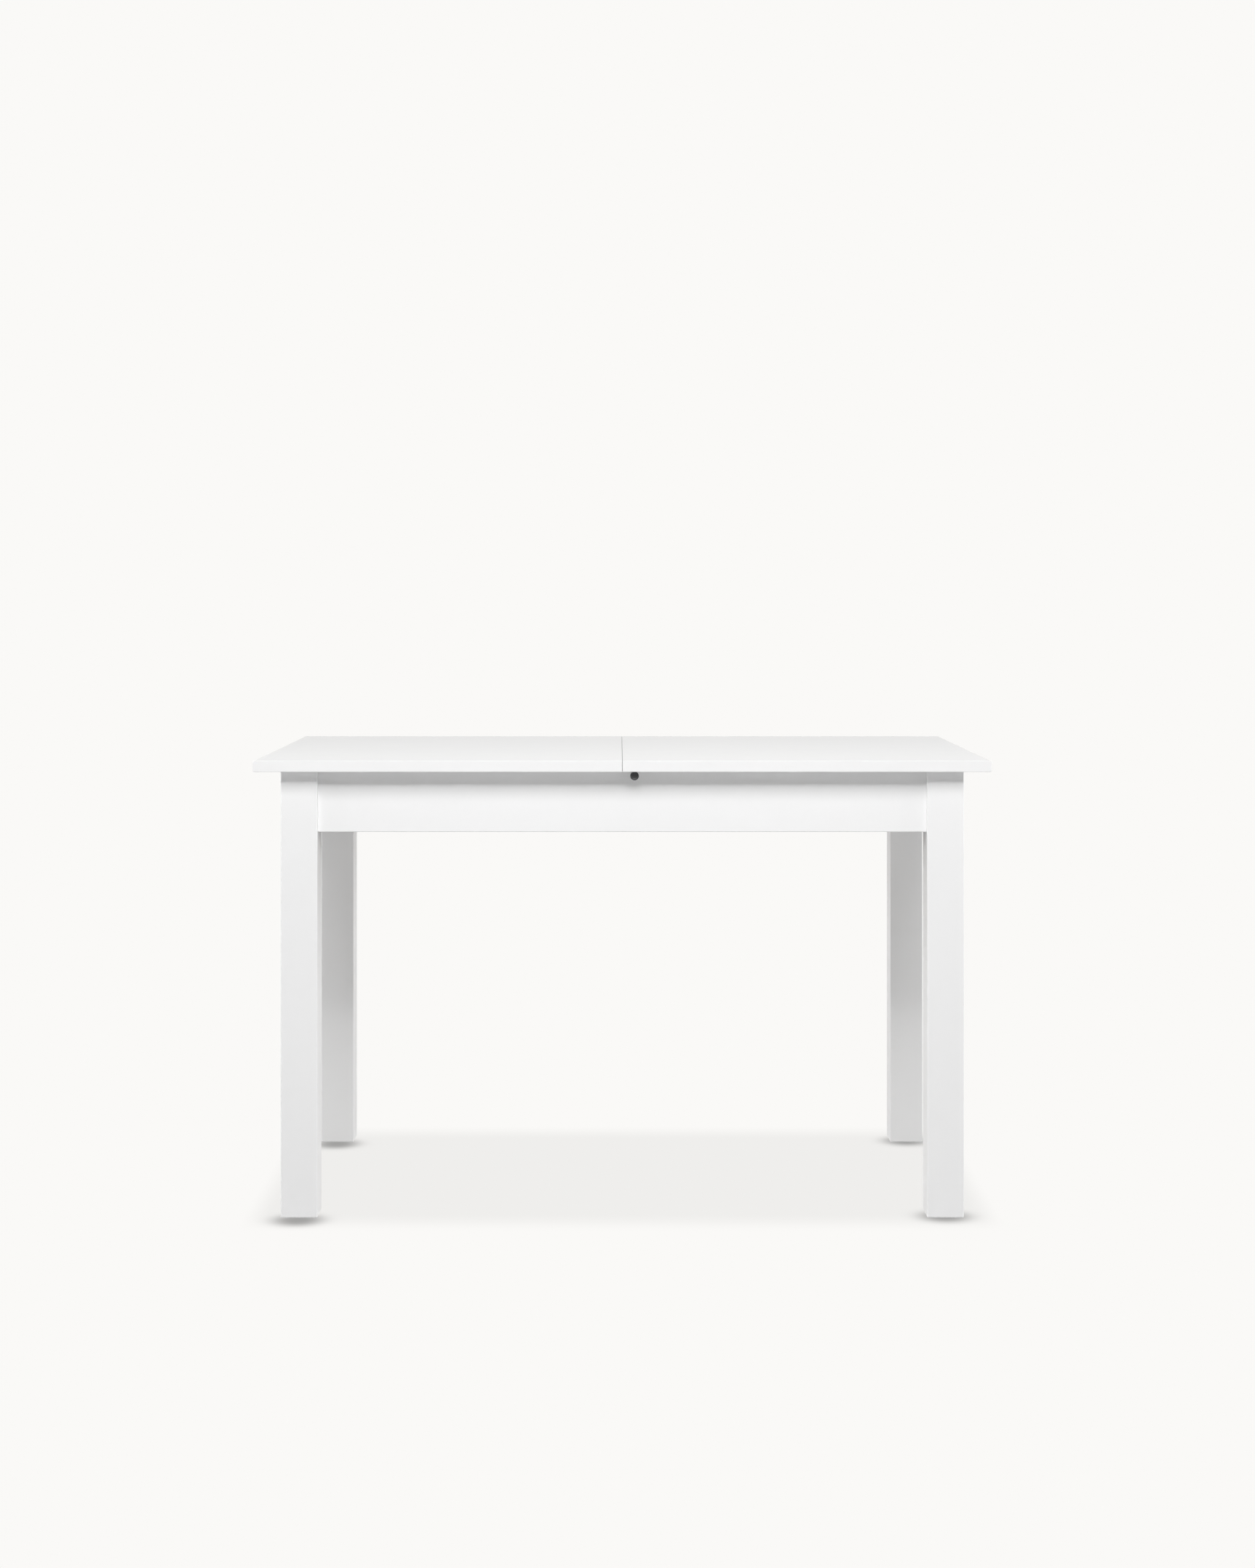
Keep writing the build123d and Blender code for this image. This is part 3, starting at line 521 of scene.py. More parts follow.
def solids(node):
    """The separate solids of a CAD node, each as the list of its points."""
    work = bmesh.new()
    work.from_mesh(NODES[node].data)
    bmesh.ops.remove_doubles(work, verts=work.verts, dist=1e-6)
    left = set(work.verts)
    found = []
    while left:
        to_visit = [left.pop()]
        points = []
        while to_visit:
            vert = to_visit.pop()
            points.append(vert.co.copy())
            for edge in vert.link_edges:
                other = edge.other_vert(vert)
                if other in left:
                    left.remove(other)
                    to_visit.append(other)
        found.append(points)
    work.free()
    return sorted(found, key=lambda points: tuple(round(c, 4) for c in centre_of(points)))


def extent(points):
    low = Vector([min(p[i] for p in points) for i in range(3)])
    high = Vector([max(p[i] for p in points) for i in range(3)])
    return low, high


def centre_of(points):
    low, high = extent(points)
    return (low + high) / 2


def along_axis(points, axis):
    """Where a solid starts and ends along an axis, and the middle of it across that axis."""
    reach = [p.dot(axis) for p in points]
    centre = centre_of(points)
    foot = centre - axis * centre.dot(axis)
    return min(reach), max(reach), foot


def widest(points, axis, foot):
    """The largest distance of any of the points from an axis through foot."""
    return max(((p - foot) - axis * (p - foot).dot(axis)).length for p in points)


def turned(profile, segments=32):
    """A lathe-turned mesh about Z; the profile is a list of (radius, height), bottom to top."""
    work = bmesh.new()
    rings = []
    for radius, height in profile:
        on_axis = radius < 1e-7
        rings.append(round_ring(work, lambda angle: radius, height, 1 if on_axis else segments))
    join_rings(work, rings)
    return work


def join_rings(work, rings, closed=False):
    """Faces between each ring of points and the next; a ring of one point is a tip."""
    pairs = list(zip(rings, rings[1:]))
    if closed:
        pairs.append((rings[-1], rings[0]))
    for lower, upper in pairs:
        count = max(len(lower), len(upper))
        for i in range(count):
            j = (i + 1) % count
            if len(lower) == 1:
                work.faces.new((lower[0], upper[j], upper[i]))
            elif len(upper) == 1:
                work.faces.new((lower[i], lower[j], upper[0]))
            else:
                work.faces.new((lower[i], lower[j], upper[j], upper[i]))


def cap_rings(work, rings):
    """Flat faces over the first and last ring."""
    work.faces.new(list(reversed(rings[0])))
    work.faces.new(rings[-1])


def arc(centre_r, centre_z, radius, start, end, steps=5):
    """Profile points along a round stretch; angles are in degrees from the radius direction."""
    turn = [math.radians(start + (end - start) * i / steps) for i in range(steps + 1)]
    return [(centre_r + radius * math.cos(t), centre_z + radius * math.sin(t)) for t in turn]


def rolled_edge(radius, edge, angles):
    """Profile points that round the rim of a disc's lower face; angles are in degrees from its flat."""
    turns = [math.radians(angle) for angle in angles]
    return [(radius - edge + edge * math.sin(t), edge * (1 - math.cos(t))) for t in turns]


def round_ring(work, radius_at, height, segments):
    """New points round Z at one height; radius_at gives the radius for an angle."""
    ring = []
    for i in range(segments):
        angle = 2 * math.pi * i / segments
        radius = radius_at(angle)
        ring.append(work.verts.new((radius * math.cos(angle), radius * math.sin(angle), height)))
    return ring


def carved(radius_at, heights, segments):
    """A round bar about Z whose radius depends on angle and height, closed at both ends."""
    work = bmesh.new()
    rings = [round_ring(work, lambda angle: radius_at(angle, height), height, segments) for height in heights]
    join_rings(work, rings)
    cap_rings(work, rings)
    return work


def to_mesh(work, name, sharp=math.radians(38)):
    """A finished mesh with smooth faces and sharp edges where the surface turns hard."""
    bmesh.ops.recalc_face_normals(work, faces=work.faces)
    for face in work.faces:
        face.smooth = True
    for edge in work.edges:
        edge.smooth = len(edge.link_faces) == 2 and edge.calc_face_angle(0) < sharp
    mesh = bpy.data.meshes.new(name)
    work.to_mesh(mesh)
    work.free()
    return mesh


def add_object(name, data):
    """A new object in the scene."""
    thing = bpy.data.objects.new(name, data)
    bpy.context.scene.collection.objects.link(thing)
    return thing


def without(mesh, cutter):
    """The mesh with another mesh cut out of it."""
    body, knife = add_object("cut_body", mesh), add_object("cut_knife", cutter)
    cut = body.modifiers.new("Cut", "BOOLEAN")
    cut.object = knife
    cut.solver = "EXACT"
    bpy.context.view_layer.update()
    result = bpy.data.meshes.new_from_object(body.evaluated_get(bpy.context.evaluated_depsgraph_get()))
    bpy.data.objects.remove(body)
    bpy.data.objects.remove(knife)
    work = bmesh.new()
    work.from_mesh(result)
    return to_mesh(work, result.name)


def pointing(origin, axis):
    """The place of a mesh made about Z so that it starts at origin and runs along axis."""
    return Matrix.Translation(origin) @ axis.to_track_quat("Z", "Y").to_matrix().to_4x4()


def gathered(name, items):
    """One mesh from copies of meshes; items are (mesh, place)."""
    work = bmesh.new()
    for mesh, place in items:
        copy = mesh.copy()
        copy.transform(place)
        work.from_mesh(copy)
        bpy.data.meshes.remove(copy)
    mesh = bpy.data.meshes.new(name)
    work.to_mesh(mesh)
    work.free()
    return mesh


def place_piece(mesh, name, node, material):
    """A finished piece that stands for a CAD node and rides on that node's body."""
    piece = add_object(name, mesh)
    mesh.materials.clear()
    mesh.materials.append(material)
    even = piece.modifiers.new("Even Normals", "WEIGHTED_NORMAL")
    even.keep_sharp = True
    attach(piece, BODY_OF[node])
    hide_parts(node)
    return piece


def finish_nodes(material, *nodes):
    """A better material for CAD nodes that keep their own shape."""
    for node in nodes:
        for slot in NODES[node].material_slots:
            slot.material = material


# ---------------------------------------------------------------- hardware meshes


def thread_wave(angle, height, pitch):
    """How deep a V thread is at this angle and height, from 0 at its crest to 1 at its root."""
    turn = (height / pitch - angle / (2 * math.pi)) % 1.0
    return 1 - abs(2 * turn - 1)


@made_once
def cross_cutter(reach, depth):
    """A tapered cross that cuts a driver recess down from z = 0."""
    work = bmesh.new()
    half = reach * 0.2
    blade = [(-reach, -half), (reach, -half), (reach, half), (-reach, half)]
    for turn in (0, math.pi / 2):
        spin = Matrix.Rotation(turn, 3, "Z")
        rings = []
        for height, share in ((-depth, 0.30), (0.0, 1.0), (0.0006, 1.1)):
            corners = [Vector((x * share, y * (0.5 + share / 2), height)) for x, y in blade]
            rings.append([work.verts.new(spin @ corner) for corner in corners])
        join_rings(work, rings)
        cap_rings(work, rings)
    return to_mesh(work, "cross_cutter")


@made_once
def wood_screw(radius, shank, head_radius, head_height, flat):
    """A wood screw about Z: its seat is z = 0, the head is below it and the point above."""
    hardware = bpy.context.scene.table_hardware
    pitch, depth = hardware.wood_pitch, hardware.thread_depth
    point, plain_end = radius * 2.2, shank * 0.2
    rings_per_turn, fewest_rings = 8, 24
    steps = max(int(shank / pitch * rings_per_turn), fewest_rings)

    def screw_radius(angle, height):
        taper = min(1.0, (shank - height) / point)
        bite = 0.0 if height < plain_end else depth * thread_wave(angle, height, pitch)
        return max((radius - bite) * taper, radius * 0.06)

    heights = [shank * (0.02 + 0.98 * i / steps) for i in range(steps)] + [shank]
    bar = to_mesh(carved(screw_radius, heights, 16), "screw_shank")
    if flat:
        crown = 0.0
        profile = [(0, 0.0), (head_radius * 0.97, 0.0), (head_radius, 0.0001)]
        profile += [(radius, head_height), (0, head_height)]
    else:
        crown = -head_height
        dome = rolled_edge(head_radius, head_height * 0.62, (20, 40, 60, 78, 90))
        profile = [(0, crown)] + [(across, crown + height) for across, height in dome]
        profile += [(head_radius, -0.0002), (head_radius - 0.0002, 0.0), (0, 0.0)]
    head = to_mesh(turned(profile, 28), "screw_head")
    knife = cross_cutter(head_radius * 0.55, min(hardware.recess_depth, head_height * 0.75)).copy()
    knife.transform(Matrix.Translation((0, 0, crown)) @ Matrix.Rotation(math.pi, 4, "X"))
    return gathered("wood_screw", [(bar, Matrix()), (without(head, knife), Matrix())])


@made_once
def hanger_bolt(radius, tail, whole):
    """A hanger bolt about Z: machine thread up to the leg, coarse wood thread and a point beyond it."""
    hardware = bpy.context.scene.table_hardware
    fine, coarse = hardware.bolt_pitch, hardware.wood_pitch * 1.25
    change = tail + 0.018  # where the machine thread ends and the wood thread starts
    chamfer, point, rings_per_turn = 0.001, 0.006, 6

    def bolt_radius(angle, height):
        rim = min(1.0, 0.8 + 0.2 * height / chamfer)
        if height < change:
            return (radius - hardware.thread_depth * thread_wave(angle, height, fine)) * rim
        taper = min(1.0, (whole - height) / point)
        bite = 2 * hardware.thread_depth * thread_wave(angle, height, coarse)
        return max((radius - bite) * taper, radius * 0.1)

    steps = int(whole / fine * rings_per_turn)
    heights = [whole * i / steps for i in range(steps + 1)]
    return to_mesh(carved(bolt_radius, heights, 20), "hanger_bolt")


@made_once
def hex_nut(flat_radius, height, bore):
    """A chamfered hexagon nut about Z, from z = 0 up."""
    segments = 72
    bevel = height * 0.14
    corner, cut_back = 1.155, 0.175  # a corner's reach over the flats, and how much the chamfer takes off it
    lead, lead_widening = 0.0006, 1.12  # the countersink at each end of the bore

    def hexagon(angle):
        sector = (angle + math.pi / 6) % (math.pi / 3) - math.pi / 6
        return flat_radius / math.cos(sector)

    levels = [0, bevel * 0.5, bevel, height - bevel, height - bevel * 0.5, height]
    work = bmesh.new()
    rings = []
    for level in levels:
        inward = max(0.0, 1 - min(level, height - level) / bevel)
        limit = flat_radius * (corner - cut_back * inward)
        rings.append(round_ring(work, lambda angle: min(hexagon(angle), limit), level, segments))
    bore_levels = ((height, lead_widening), (height - lead, 1.0), (lead, 1.0), (0, lead_widening))
    for level, widening in bore_levels:
        rings.append(round_ring(work, lambda angle: bore * widening, level, segments))
    join_rings(work, rings, closed=True)
    return to_mesh(work, "hex_nut")


@made_once
def flat_washer(radius, bore, thickness):
    """A stamped washer about Z with one rolled and one sharp face."""
    roll = thickness * 0.35
    profile = [(bore, 0), (radius - 0.0001, 0), (radius, 0.0001)]
    profile += arc(radius - roll, thickness - roll, roll, 0, 90, 4)
    profile += arc(bore + roll, thickness - roll, roll, 90, 180, 4)
    profile.append((bore, 0))
    return to_mesh(turned(profile, 40), "flat_washer")


@made_once
def fluted_dowel(radius, whole):
    """A beech dowel about Z with pressed glue flutes and rounded-off ends."""
    flutes = bpy.context.scene.table_hardware.dowel_flutes
    ease, flute_depth, end_share = 0.0011, 0.00022, 0.74

    def dowel_radius(angle, height):
        end = min(height, whole - height)
        if end > ease:
            return radius - flute_depth * max(0.0, math.cos(angle * flutes)) ** 4
        swell = math.sqrt(max(0.0, 1 - (1 - end / ease) ** 2))
        return radius * (end_share + (1 - end_share) * swell)

    ends = [ease * i / 5 for i in range(6)]
    heights = ends + [ease * 1.2] + [whole - ease * 1.2] + [whole - e for e in reversed(ends)]
    return to_mesh(carved(dowel_radius, heights, flutes * 6), "fluted_dowel")


@made_once
def wire_coil(turns, coil_radius, wire_radius, whole):
    """A compression spring about Z from z = 0 to its whole length, with closed ends."""
    work = bmesh.new()
    steps, sides = 28 * turns, 10
    rings = []
    for i in range(steps + 1):
        share = i / steps
        angle = 2 * math.pi * turns * share
        eased = min(1.0, max(0.0, (share * turns - 0.75) / (turns - 1.5)))
        height = wire_radius + (whole - 2 * wire_radius) * eased
        outward = Vector((math.cos(angle), math.sin(angle), 0))
        centre = outward * coil_radius + Z * height
        turns_round = [2 * math.pi * side / sides for side in range(sides)]
        edges = [wire_radius * (outward * math.cos(t) + Z * math.sin(t)) for t in turns_round]
        rings.append([work.verts.new(centre + edge) for edge in edges])
    join_rings(work, rings)
    cap_rings(work, rings)
    return to_mesh(work, "wire_coil")


@made_once
def knob_head(radius, whole, bore, bore_depth):
    """The knob about Z: its dished face is at z = 0 and its neck runs up to the apron side."""
    rim, edge = 0.0011, 0.0008
    dish_depth, dish_rise = 0.0011, 0.0009
    neck = radius * 0.64
    head = whole * 0.66
    dish_edge = radius - rim - edge * 0.6
    turns = [math.radians(angle) for angle in range(12, 85, 12)]
    profile = [(0, dish_depth)]
    profile += [(dish_edge * math.sin(t), dish_depth - dish_rise * (1 - math.cos(t))) for t in turns]
    profile += [(dish_edge + 0.0002, 0.00012), (dish_edge + 0.00035, 0.0)]
    profile += rolled_edge(radius, edge, (0, 20, 40, 60, 80, 90))
    profile += arc(radius - 0.001, head - 0.001, 0.001, 0, 90, 4)
    profile += [(neck + 0.0006, head), (neck + 0.0002, head + 0.0003), (neck, head + 0.0008)]
    profile += arc(neck - 0.0004, whole - 0.0004, 0.0004, 0, 90, 3)
    profile += [(bore, whole), (bore, whole - bore_depth), (0, whole - bore_depth)]
    return to_mesh(turned(profile, 64), "knob_head")


@made_once
def catch_rod(radius, whole, groove_at, groove_wide, groove_radius):
    """The catch rod about Z: it starts in the knob and ends in a domed tip, with a groove for the clip."""
    profile = [(0, 0), (radius - 0.0003, 0), (radius, 0.0003)]
    profile += [(radius, groove_at), (groove_radius, groove_at)]
    profile += [(groove_radius, groove_at + groove_wide), (radius, groove_at + groove_wide)]
    profile += arc(0, whole - radius, radius, 0, 90, 10)[:-1]
    profile.append((0, whole))
    return to_mesh(turned(profile, 40), "catch_rod")


@made_once
def foot_glide(radius, thickness, pin_radius, whole):
    """A nail-on foot glide about Z: a domed nylon disc with its pin above."""
    profile = [(0, 0)] + rolled_edge(radius, 0.0009, (0, 22, 45, 68, 90))
    profile += [(radius, thickness), (pin_radius, thickness)]
    profile += [(pin_radius, whole - pin_radius * 2), (0, whole)]
    return to_mesh(turned(profile, 48), "foot_glide")


@made_once
def rounded_disc(radius, thickness, edge):
    """A disc about Z with rounded edges on its far face."""
    profile = [(0, 0), (radius, 0)] + arc(radius - edge, thickness - edge, edge, 0, 90, 4) + [(0, thickness)]
    return to_mesh(turned(profile, 36), "rounded_disc")


@made_once
def hinge_pin(radius, whole):
    """A hinge pin about Z with eased ends."""
    ease = radius * 0.35
    profile = [(0, 0), (radius - ease, 0), (radius, ease)]
    profile += [(radius, whole - ease), (radius - ease, whole), (0, whole)]
    return to_mesh(turned(profile, 20), "hinge_pin")


def felt_strip(low, high, fuzz):
    """A cut strip of felt: soft edges and a surface that wanders a little, kept inside its own box."""
    size = high - low
    cell = 0.004
    counts = [max(2, round(size[i] / cell)) for i in range(2)]
    work = bmesh.new()

    def point(i, j, top):
        share_x, share_y = i / counts[0], j / counts[1]
        rim = min(share_x * size.x, (1 - share_x) * size.x, share_y * size.y, (1 - share_y) * size.y)
        place = Vector((low.x + share_x * size.x, low.y + share_y * size.y, high.z if top else low.z))
        stray = noise.noise(place * 900)
        if rim < 1e-6:
            inward = Vector((0.5 - share_x, 0.5 - share_y, 0))
            place += inward.normalized() * fuzz * (1 + stray)
            place.z += (-1 if top else 1) * size.z * 0.18
        elif top:
            place.z -= fuzz * 0.5 * (1 + stray)
        return place

    grids = {}
    for top in (False, True):
        for i in range(counts[0] + 1):
            for j in range(counts[1] + 1):
                grids[top, i, j] = work.verts.new(point(i, j, top))
        for i in range(counts[0]):
            for j in range(counts[1]):
                cell_corners = ((i, j), (i + 1, j), (i + 1, j + 1), (i, j + 1))
                corners = [grids[top, *corner] for corner in cell_corners]
                work.faces.new(corners if top else list(reversed(corners)))
    border = [(i, 0) for i in range(counts[0])] + [(counts[0], j) for j in range(counts[1])]
    border += [(i, counts[1]) for i in range(counts[0], 0, -1)] + [(0, j) for j in range(counts[1], 0, -1)]
    for here, there in zip(border, border[1:] + border[:1]):
        work.faces.new((grids[False, *here], grids[False, *there], grids[True, *there], grids[True, *here]))
    return to_mesh(work, "felt_strip", math.radians(80))


# ---------------------------------------------------------------- operators


def set_along(node, axis_of, maker, ending, material):
    """Detailed pieces in place of a node's solids; axis_of gives the way that each one points."""
    items = []
    for points in solids(node):
        axis = axis_of(points)
        start, end, foot = along_axis(points, axis)
        items.append((maker(round(end - start, 5)), pointing(foot + axis * start, axis)))
    return place_piece(gathered(node, items), f"{node}_{ending}", node, material)


def dowel(whole):
    return fluted_dowel(DOWEL_RADIUS, whole)


def put_screws(node, axis_of, head_height, flat=False):
    """Detailed screws in place of a node of CAD screws; axis_of gives each solid's driving direction."""
    items = []
    for points in solids(node):
        axis = axis_of(points)
        start, end, foot = along_axis(points, axis)
        seat = start if flat else start + head_height
        head_radius = widest(points, axis, foot)
        shank_radius = widest([p for p in points if p.dot(axis) > end - MM], axis, foot)
        shape = [round(size, 5) for size in (shank_radius, end - seat, head_radius)]
        mesh = wood_screw(*shape, head_height, flat)
        spin = Matrix.Rotation(noise.noise(centre_of(points) * 97) * math.pi, 4, "Z")
        items.append((mesh, pointing(foot + axis * seat, axis) @ spin))
    return place_piece(gathered(node, items), f"{node}_detail", node, zinc_plate())


def outward(points, axis):
    """The axis, turned to point away from the table's middle."""
    return axis if centre_of(points).dot(axis) > 0 else -axis


def longest_axis(points):
    low, high = extent(points)
    size = high - low
    return (X, Y, Z)[max(range(3), key=lambda i: size[i])]


def seam_shade_lip(left_face, right_face, under_top, depth):
    """A lip of painted shade that fills the seam: a thin bar along it that turns down at both ends."""
    low, high = left_face
    front, back = low.y + under_top, high.y - under_top
    top, foot = high.z - under_top / 2, low.z + under_top
    outline = [(front, foot), (front, top), (back, top), (back, foot)]
    outline += [(back - depth, foot), (back - depth, top - depth)]
    outline += [(front + depth, top - depth), (front + depth, foot)]
    gap = right_face[0].x - high.x
    work = bmesh.new()
    rings = []
    for share, inset in ((0.0, 0.0), (0.65, 0.0), (0.85, 0.06)):
        x, shrink, drop = high.x + gap * share, 1 - inset * depth / back, inset * depth
        rings.append([work.verts.new((x, y * shrink, z - drop)) for y, z in outline])
    join_rings(work, rings)
    cap_rings(work, rings)
    return to_mesh(work, "seam_shade_lip")


class TABLE_OT_half_tops(bpy.types.Operator):
    """Finish the two half tops, the stored leaf's panels and the dowels in their edges, and fill the seam
    with a lip of painted shade
    """

    bl_idname = "table.half_tops"
    bl_label = "Half tops and leaf"

    def execute(self, context):
        finish_nodes(board_lacquer(), "top_right", "top_left", "leaf_panel_lower", "leaf_panel_upper")
        for node in ("seam_dowels_right", "seam_dowels_left", "leaf_dowels"):
            set_along(node, lambda points: X, dowel, "fluted", raw_beech("X"))
        # Painted shade: a grey lip in the seam stands for the shade in the gap between the half tops.
        mesh = seam_shade_lip(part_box("top_left"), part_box("top_right"), SHADE_LIP_INSET, SHADE_LIP_DEPTH)
        mesh.materials.append(painted_seam_shade())
        shade_lip = add_object("seam_shade_lip", mesh)
        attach(shade_lip, BODY_OF["top_left"])
        return {"FINISHED"}


class TABLE_OT_legs(bpy.types.Operator):
    """Finish the four legs and set a glide under each"""

    bl_idname = "table.legs"
    bl_label = "Legs and glides"

    def execute(self, context):
        def glide(whole):
            return foot_glide(GLIDE_RADIUS, GLIDE_THICKNESS, GLIDE_PIN_RADIUS, whole)

        finish_nodes(leg_lacquer(), *(f"leg_{corner}" for corner in CORNERS))
        set_along("foot_glides", lambda points: Z, glide, "domed", glide_nylon())
        return {"FINISHED"}


class TABLE_OT_aprons(bpy.types.Operator):
    """Finish the four aprons, with their dowels and the felt strips on top"""

    bl_idname = "table.aprons"
    bl_label = "Aprons and strips"

    def execute(self, context):
        finish_nodes(board_lacquer(), *(f"apron_{side}" for side in FRONT_BACK + RIGHT_LEFT))
        set_along("apron_dowels", longest_axis, dowel, "fluted", raw_beech("X"))
        fuzz = context.scene.table_hardware.felt_fuzz
        strips = [(felt_strip(*extent(points), fuzz), Matrix()) for points in solids("glide_strips")]
        place_piece(gathered("glide_strips", strips), "glide_strips_felt", "glide_strips", wool_felt())
        return {"FINISHED"}


class TABLE_OT_runners(bpy.types.Operator):
    """Finish the runners, guide rails and bearers, and set the felt buffers"""

    bl_idname = "table.runners"
    bl_label = "Runners and rails"

    def execute(self, context):
        def buffer(whole):
            return rounded_disc(BUFFER_RADIUS, whole, BUFFER_EDGE)

        finish_nodes(raw_beech("X"), *(f"runner_{side}_{end}" for side in RIGHT_LEFT for end in FRONT_BACK))
        finish_nodes(raw_beech("X"), *(f"guide_rail_{end}" for end in FRONT_BACK))
        finish_nodes(raw_softwood("Y"), *(f"bearer_{side}" for side in RIGHT_LEFT))
        finish_nodes(raw_softwood("X"), "leaf_stops")
        set_along("travel_buffers", lambda points: -outward(points, X), buffer, "felt", wool_felt())
        return {"FINISHED"}


class TABLE_OT_corner_hardware(bpy.types.Operator):
    """Finish the corner brackets and make their bolts, washers and nuts"""

    bl_idname = "table.corner_hardware"
    bl_label = "Corner hardware"

    def execute(self, context):
        def to_corner(points):
            centre = centre_of(points)
            return Vector((math.copysign(1, centre.x), math.copysign(1, centre.y), 0)).normalized()

        def from_corner(points):
            return -to_corner(points)

        def bolt(whole):
            return hanger_bolt(BOLT_RADIUS, BOLT_TAIL, whole)

        def washer(whole):
            return flat_washer(WASHER_RADIUS, BOLT_RADIUS, whole)

        def nut(whole):
            return hex_nut(NUT_ACROSS / 2, whole, BOLT_RADIUS)

        finish_nodes(zinc_plate(), "corner_brackets", "bearer_angles")
        set_along("corner_bolts", to_corner, bolt, "detail", zinc_plate())
        set_along("corner_washers", from_corner, washer, "detail", zinc_plate())
        set_along("corner_nuts", from_corner, nut, "detail", zinc_plate())
        return {"FINISHED"}


class TABLE_OT_screws(bpy.types.Operator):
    """Make every wood screw with its thread and cross recess"""

    bl_idname = "table.screws"
    bl_label = "Screws"

    def execute(self, context):
        def sideways(points):
            return outward(points, longest_axis(points))

        def into_bearer(points):
            axis = longest_axis(points)
            return -outward(points, X) if axis == X else outward(points, Y)

        def away_from_fold(points):
            return Z if centre_of(points).z > fold else -Z

        put_screws("corner_screws", sideways, MIDDLE_HEAD)
        put_screws("guide_rail_screws", sideways, LARGE_HEAD)
        put_screws("catch_bracket_screws", sideways, SMALL_HEAD)
        put_screws("bearer_screws", into_bearer, MIDDLE_HEAD)
        put_screws("leaf_stop_screws", lambda points: -Z, MIDDLE_HEAD)
        for side in RIGHT_LEFT:
            put_screws(f"runner_screws_{side}", lambda points: Z, LARGE_HEAD)
            put_screws(f"keeper_screws_{side}", lambda points: Z, SMALL_HEAD)
        fold = centre_of([p for points in solids("leaf_hinge_screws") for p in points]).z
        put_screws("leaf_hinge_screws", away_from_fold, SMALL_HEAD, flat=True)
        return {"FINISHED"}


class TABLE_OT_leaf_hinges(bpy.types.Operator):
    """Finish the stored leaf's hinges and make their pins"""

    bl_idname = "table.leaf_hinges"
    bl_label = "Leaf hinges"

    def execute(self, context):
        def pin(whole):
            return hinge_pin(PIN_RADIUS, whole)

        finish_nodes(zinc_plate(), "leaf_hinge_lower_plates", "leaf_hinge_upper_plates")
        set_along("leaf_hinge_pins", lambda points: X, pin, "eased", drawn_steel())
        return {"FINISHED"}


class TABLE_OT_catches(bpy.types.Operator):
    """Make the front and back catches: knob, rod and spring, with their clip, bracket and keeper"""

    bl_idname = "table.catches"
    bl_label = "Catches"

    def execute(self, context):
        turns = context.scene.table_hardware.spring_turns
        for side, inward in (("front", Y), ("back", -Y)):
            parts = {part: solids(f"catch_{part}_{side}")[0] for part in ("clip", "rod", "spring")}
            clip_start, rod_start = (along_axis(parts[part], inward)[0] for part in ("clip", "rod"))
            groove_at = round(clip_start - rod_start, 5) - GROOVE_PLAY

            def knob(whole):
                return knob_head(KNOB_RADIUS, whole, ROD_RADIUS, KNOB_BORE_DEPTH)

            def rod(whole):
                return catch_rod(ROD_RADIUS, whole, groove_at, GROOVE_WIDTH, GROOVE_RADIUS)

            def spring(whole):
                return wire_coil(turns, COIL_RADIUS, WIRE_RADIUS, whole)

            finish_nodes(drawn_steel(), f"catch_clip_{side}")
            finish_nodes(zinc_plate(), f"catch_bracket_{side}")
            set_along(f"catch_knob_{side}", lambda points: inward, knob, "turned", knob_plastic())
            set_along(f"catch_rod_{side}", lambda points: inward, rod, "turned", drawn_steel())
            coil = set_along(f"catch_spring_{side}", lambda points: inward, spring, "coil", drawn_steel())
            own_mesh(coil)
        finish_nodes(zinc_plate(), *(f"keeper_{side}" for side in RIGHT_LEFT))
        return {"FINISHED"}


